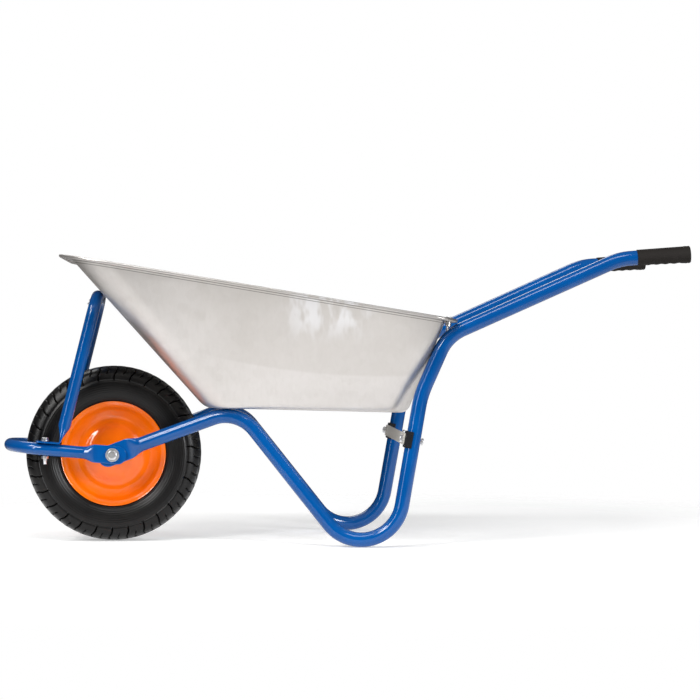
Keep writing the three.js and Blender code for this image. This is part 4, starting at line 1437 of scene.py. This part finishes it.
@dataclass
class Wheel:
    """A 4.00-8 tyre on a pressed steel rim of two halves, with its hub and valve."""

    axle_z: float = 195.0
    half_width: float = 40.0
    sheet: float = 1.6
    hub_r: float = 17.0
    hub_half: float = 45.0
    lugs: int = 30
    lug_steps: int = 34
    groove: float = 4.2
    tread_r: float = 159.0
    crown_half: float = 12.0
    ring_y: float = 13.0
    ring_wave: float = 2.0
    ring_half: float = 1.8
    slot_half: float = 0.05
    slot_edge: float = 0.035
    outer: tuple = (
        (106, 27), (112, 33), (117, 36.5), (120, 41), (127, 45), (138, 48.8), (150, 50), (161, 49.4),
        (172, 47.2), (181, 43), (187.5, 36), (191.5, 26), (194, 14), (195, 0),
    )
    inner: tuple = ((186, 0), (186, 12), (174, 38), (152, 43.5), (128, 39), (116, 31), (106, 22))
    face: tuple = (
        (116, 40), (115.4, 40), (113.4, 38.6), (109.5, 36), (105.5, 33), (102.5, 28.5), (98.5, 20.5),
        (91, 12.6), (83.5, 6.4), (81, 4.9), (77, 4.4), (71, 4.4), (67.5, 4.9), (64, 5.9), (60.5, 7.6),
        (57, 9.3), (53, 10.8), (48, 12.2), (38, 14.2), (27, 15.6), (17.3, 16),
    )
    tube_ring_r: float = 146.0
    tube_r: float = 34.6
    hub_wall: float = 3.0
    bush: tuple = (
        (6.6, 23), (13.7, 23), (13.7, 45.3), (17, 45.3), (17, 47.5), (16.7, 47.8), (6.6, 47.8),
    )
    valve_stem: tuple = ((0.01, -6), (3, -6), (3, 12), (2.6, 13), (2.6, 28), (0.01, 28))
    valve_cap: tuple = ((0.01, 28.5), (4.4, 28.5), (4.3, 31), (4.0, 36.8), (3.4, 37.5), (0.01, 37.5))
    valve_root: tuple = (80.0, 2.0, 80.0)
    valve_axis: tuple = (-0.6, 0.53, -0.6)

    def on_axle(self, surface: Surface) -> Surface:
        """A surface turned about Z, put on the axle along +Y."""
        return surface.placed([0, 0, self.axle_z], [0, 1, 0])

    def tyre(self) -> Surface:
        """The carcass with its tread.

        The profile is turned about the axle; a point is then pushed in along the profile's
        normal by the groove depth where the tread pattern has a groove.

        Returns:
            The surface.
        """
        line = resampled(rounded(self.outer), 400)
        wall, tread = line[line[:, 0] < self.tread_r], line[line[:, 0] >= self.tread_r]
        half = np.vstack([resampled(wall, 12)[:-1], resampled(tread, 30)])
        other = half[::-1][1:] * [1, -1]
        outer = np.vstack([half, other])
        ahead = np.gradient(outer, axis=0)
        normal = unit(np.stack([-ahead[:, 1], ahead[:, 0]], -1))
        normal *= np.sign(np.sum(normal * (outer - [150, 0]), 1))[:, None]
        inside = resampled(rounded(self.inner), 6)
        inner = np.vstack([inside[::-1] * [1, -1], inside[1:]])
        count = self.lugs * self.lug_steps
        a = turns(count)
        depth = self.groove * self._tread(outer, a)
        r = outer[:, :1] + normal[:, :1] * -depth
        y = outer[:, 1:] + normal[:, 1:] * -depth
        skin = polar(r, a, y)
        lining = polar(inner[:, :1] * np.ones(count), a, inner[:, 1:])
        return self.on_axle(grid(np.concatenate([skin, lining]), loop_rows=True))

    def _tread(self, profile: Array, angle: Array) -> Array:
        """Share of the groove depth at each profile point and angle.

        Shoulder grooves run out at a slight slant, one to a lug and half a lug apart from side
        to side; a shorter zigzag row crosses the crown, and two grooves run round it.

        Args:
            profile: Radius and distance from the middle plane of each point.
            angle: Angles round the axle.

        Returns:
            Profile points by angles, from 0 on a lug to 1 in a groove.
        """
        r, y = profile[:, :1], profile[:, 1:]
        turn = angle[None] * self.lugs / (2 * np.pi)
        side = np.sign(y)
        off_crown = smooth((np.abs(y) - 14) / 3)
        shoulder = smooth((r - 162.5) / 2.5) * off_crown
        lean = 0.16 * (np.abs(y) - 30) / 20 + 0.05 * np.sin(np.abs(y) / 3.4)
        phase = (turn + 0.25 * side + lean) % 1.0
        slot = smooth((self.slot_half - np.abs(phase - 0.5)) / self.slot_edge)
        short = (turn + 0.25 * side + lean + 0.5) % 1.0
        nick = smooth((self.slot_half - np.abs(short - 0.5)) / self.slot_edge)
        nick = nick * smooth((r - 178) / 2.5) * off_crown
        crown = 1 - smooth((np.abs(y) - self.crown_half) / 2)
        zig = (2 * turn + 0.5 * np.sin(y / 6)) % 1.0
        bar = smooth((0.16 - np.abs(zig - 0.5)) / 0.08) * crown
        wander = self.ring_wave * np.sin(2 * np.pi * turn)
        ring = smooth(self.ring_half - np.abs(np.abs(y) - self.ring_y - wander))
        ring = ring * smooth((r - 185) / 4)
        edge = 0.42 * smooth((2.2 - np.abs(r - 163.0)) / 1.5)
        deep = np.maximum(shoulder * slot, np.maximum(bar * 0.9, ring * 0.8))
        return np.clip(np.maximum(np.maximum(deep, 0.7 * nick), edge), 0, 1)

    def rim(self, side: Side) -> Surface:
        """One pressed half of the rim: its face and, a sheet's thickness behind it, its back."""
        face = resampled(rounded(self.face), 96)
        ahead = unit(np.gradient(face, axis=0))
        back = face + self.sheet * np.stack([-ahead[:, 1], ahead[:, 0]], -1)
        back[:, 1] = np.maximum(back[:, 1], self.sheet)
        profile = np.vstack([face, back[::-1]]) * [1, side.sign]
        return self.on_axle(turned(profile, 160))

    def build(self, shop: Workshop) -> None:
        """Makes the wheel's pieces."""
        shop.piece("tyre_treaded", self.tyre(), "tyre", Body.WHEEL, ["tyre"], sharp=40)
        turn = turns(32)[:, None]
        circle = np.hstack([self.tube_ring_r + self.tube_r * np.cos(turn), self.tube_r * np.sin(turn)])
        shop.piece("inner_tube_black", self.on_axle(turned(circle, 96)), "tube", Body.WHEEL, ["inner_tube"])
        for side in Side:
            name = f"rim_{side.value}"
            shop.piece(f"{name}_pressed", self.rim(side), "orange", Body.WHEEL, [name], sharp=50)
            bush = self.on_axle(turned(np.array(self.bush) * [1, side.sign], 64))
            shop.moulded(f"bush_{side.value}", bush, "nylon", Body.WHEEL)
        hub = sleeve(self.hub_r, self.hub_r - self.hub_wall, 2 * self.hub_half, 0.5)
        hub = hub.placed([0, -self.hub_half, self.axle_z], [0, 1, 0])
        shop.plated("hub_tube", hub, Body.WHEEL)
        root = np.array(self.valve_root) + [0, 0, self.axle_z]
        axis = unit(self.valve_axis)
        stem = turned(np.array(self.valve_stem), 32, False).placed(root, axis)
        shop.piece("valve_stem_brass", stem, "brass", Body.WHEEL, ["valve_stem"])
        cap = turned(np.array(self.valve_cap), 32, False).placed(root, axis)
        shop.moulded("valve_cap", cap, "nylon", Body.WHEEL)


@dataclass
class Axle:
    """The axle bolt with its washers, spacers and nut."""

    z: float = 195.0
    outside: float = 99.7
    washer: float = 2.5
    washer_r: float = 15.0
    spacer_r: float = 10.0
    spacer_start: float = 48.5
    spacer_length: float = 42.2
    corner: float = 11.0
    head: float = 8.0
    nut: float = 10.0
    hole: float = 6.3
    overrun: float = 17.0
    threaded: float = 26.0
    gap: float = 0.3

    def build(self, shop: Workshop) -> None:
        """Makes the axle's pieces."""
        face = self.outside + self.washer + self.gap
        bolt = hex_bolt(self.corner, self.head, M12, 2 * face + self.overrun, self.threaded)
        shop.plated("axle_bolt", bolt.placed([0, -face, self.z], [0, 1, 0]))
        nut = hex_nut(self.corner, self.nut, self.hole)
        shop.plated("axle_nut", nut.placed([0, face, self.z], [0, 1, 0]))
        for side in Side:
            out = [0, side.sign, 0]
            washer = sleeve(self.washer_r, self.hole, self.washer, 0.5)
            washer = washer.placed([0, side.sign * self.outside, self.z], out)
            shop.plated(f"axle_washer_{side.value}", washer)
            spacer = sleeve(self.spacer_r, self.hole, self.spacer_length)
            spacer = spacer.placed([0, side.sign * self.spacer_start, self.z], out)
            shop.plated(f"axle_spacer_{side.value}", spacer)


# ---------------------------------------------------------------- studio


@dataclass
class Studio:
    """The camera, the lights and the pale floor."""

    axle: Vector
    camera_from_axle: tuple = (0.19263, -5.02252, 0.26343)
    pitch: float = 89.615
    yaw: float = -3.84
    lens: float = 114.8
    surround: float = 0.17
    backdrop: tuple = (1.0, 1.0, 1.0)
    floor_glow: float = 0.4
    floor_seen: tuple = (0.85, 1.6)
    floor_r: float = 14.0
    floor_z: float = -0.0006
    sensor: float = 36.0
    aim: tuple = (0.0, 0.0, 0.3)
    walls: tuple = (
        (0.0, (0.9, 0.88, 0.85)), (0.43, (0.9, 0.88, 0.85)), (0.5, (0.12, 0.12, 0.13)),
        (0.62, (0.35, 0.35, 0.37)), (1.0, (1.0, 1.0, 1.0)),
    )
    lamps: tuple = (
        ("key_softbox", (-3.0, -3.2, 2.7), (1.2, 1.2), 96.0, (1.0, 0.99, 0.97)),
        ("right_strip", (2.7, -3.4, 1.3), (0.75, 2.5), 136.0, (0.97, 0.98, 1.0)),
        ("left_strip", (-3.3, -2.8, 1.0), (0.3, 1.9), 24.0, (0.98, 0.99, 1.0)),
        ("top_softbox", (-0.7, -2.0, 3.6), (2.8, 0.9), 58.0, (1.0, 1.0, 1.0)),
        ("shoulder_softbox", (-3.2, -1.5, 3.4), (0.9, 0.9), 48.0, (1.0, 1.0, 1.0)),
        ("back_softbox", (-0.6, 2.6, 3.0), (2.4, 1.0), 34.0, (1.0, 1.0, 1.0)),
    )

    def camera(self) -> None:
        """Makes the camera, nearly level and nearly square to the near side."""
        data = bpy.data.cameras.new("studio_camera")
        data.lens = self.lens
        data.sensor_width = self.sensor
        camera = bpy.data.objects.new("studio_camera", data)
        camera.location = self.axle + Vector(self.camera_from_axle)
        camera.rotation_euler = (math.radians(self.pitch), 0, math.radians(self.yaw))
        bpy.context.scene.collection.objects.link(camera)
        bpy.context.scene.camera = camera

    def light(self, name: str, place: tuple, size: tuple, power: float, colour: tuple = (1, 1, 1)) -> None:
        """Makes one soft box that looks at the tray's middle.

        Args:
            name: The light's name.
            place: Where it stands.
            size: Its width and height.
            power: Its power in watts.
            colour: Its colour.
        """
        data = bpy.data.lights.new(name, "AREA")
        data.shape = "RECTANGLE"
        data.size, data.size_y = size
        data.energy = power
        data.color = colour
        lamp = bpy.data.objects.new(name, data)
        lamp.location = place
        lamp.rotation_euler = (Vector(self.aim) - Vector(place)).to_track_quat("-Z", "Y").to_euler()
        bpy.context.scene.collection.objects.link(lamp)

    def floor(self) -> None:
        """Makes the pale floor: a wide disc just under the tyre and the feet."""
        edge = polar(np.full(96, self.floor_r), turns(96), self.floor_z)
        mesh = bpy.data.meshes.new("studio_floor")
        mesh.from_pydata(edge.tolist(), [], [list(range(len(edge)))])
        tree = Tree.of_material("pale_floor")
        shade = tree.blend(tree.noise(1.5, 3.0), rgb(226, 226, 226), rgb(222, 222, 221))
        x, y, _ = tree.xyz()
        faded = (x * x + y * y).root().ramp(*self.floor_seen)
        material = tree.surface(
            faded, Base_Color=shade, Roughness=0.85, Specular_IOR_Level=0.1,
            Emission_Color=rgb(255, 255, 255), Emission_Strength=self.floor_glow,
        )
        mesh.materials.append(material)
        floor = bpy.data.objects.new("studio_floor", mesh)
        bpy.context.scene.collection.objects.link(floor)

    def sky(self) -> None:
        """Makes the surround: white to the eye, a studio with a dark horizon in reflections.

        Seen directly it is even and white. As a light it runs from a pale ground through a dark
        band at the horizon to a white ceiling.
        """
        world = bpy.data.worlds.new("studio_surround")
        bpy.context.scene.world = world
        tree = Tree(world)
        ways = tree.node("ShaderNodeTexCoord")["Generated"]
        height = tree.node("ShaderNodeSeparateXYZ", None, {0: ways})["Z"] * 0.5 + 0.5
        shade = tree.node("ShaderNodeValToRGB", {"stops": self.walls}, {0: height})["Color"]
        lit = {"Color": shade, "Strength": self.surround}
        studio = tree.node("ShaderNodeBackground", None, lit)[0]
        seen = {"Color": (*self.backdrop, 1.0)}
        backdrop = tree.node("ShaderNodeBackground", None, seen)[0]
        eye = tree.node("ShaderNodeLightPath")["Is Camera Ray"]
        both = tree.node("ShaderNodeMixShader", None, {0: eye, 1: studio, 2: backdrop})[0]
        tree.node("ShaderNodeOutputWorld", None, {"Surface": both})

    def build(self) -> None:
        """Makes the studio."""
        self.camera()
        self.sky()
        self.floor()
        for lamp in self.lamps:
            self.light(*lamp)
        view = bpy.context.scene.view_settings
        view.view_transform = "Standard"
        view.look = "None"


# ---------------------------------------------------------------- main


def finishes(axle: Vector) -> dict[str, Finish]:
    """The wheelbarrow's finishes by name."""
    tray = Tray()
    edge = (float(tray.rim_z(-axle.x * 1000)) / 1000, tray.rim_fall)
    # The colour of the painted shade on the sheet's walls, at the rear and in the creases under the rim.
    painted_shade = rgb(96, 93, 88)
    return {
        "blue": Paint("blue_stoved_paint", rgb(0, 79, 148), rgb(0, 71, 136), "blue_paint", 0.1, 0.3),
        "orange": Paint(
            "orange_stoved_paint", rgb(246, 116, 5), rgb(238, 102, 2), "rim_paint", 0.13, 0.5, 0.4
        ),
        "tray": Galvanised(
            "galvanised_sheet", rgb(214, 210, 207), rgb(188, 183, 177), painted_shade, "tray_sheet", edge
        ),
        "strap": Galvanised(
            "galvanised_strip", rgb(226, 222, 214), rgb(206, 201, 192), painted_shade, "strap_sheet", edge,
            0.42, metal=0.45,
        ),
        "zinc": ZincPlate("bright_zinc", rgb(232, 233, 236), rgb(216, 214, 208), "zinc"),
        "brass": ZincPlate("valve_brass", rgb(214, 178, 104), rgb(190, 150, 80), "brass"),
        "tyre": TyreRubber("tyre_rubber", rgb(10, 9, 9), rgb(24, 22, 20), "tyre", tuple(axle)),
        "tube": MouldedRubber("butyl_rubber", rgb(24, 24, 24), rgb(40, 40, 40), "inner_tube"),
        "grip": MouldedRubber("grip_rubber", rgb(32, 29, 27), rgb(44, 41, 38), "grip_rubber", 0.62),
        "nylon": MouldedRubber("black_nylon", rgb(22, 22, 24), rgb(38, 38, 41), "black_plastic", 0.42),
    }


def main() -> None:
    """Builds the wheelbarrow and its studio."""
    logging.basicConfig(level=logging.INFO, format="%(name)s: %(message)s")
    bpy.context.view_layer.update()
    low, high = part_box("tyre")
    axle = (low + high) / 2
    studio = Studio(axle)
    studio.build()
    shop = Workshop(axle, finishes(axle))
    rails, loop, tray = Rails(), BumperLoop(), Tray()
    brace = TrayBrace(loop)
    rails.build(shop)
    loop.build(shop)
    brace.build(shop)
    tray.build(shop)
    Fasteners(tray, brace, rails).build(shop)
    LegStrap(rails).build(shop)
    Grips(rails).build(shop)
    Wheel().build(shop)
    Axle().build(shop)


if __name__ == "__main__":
    main()
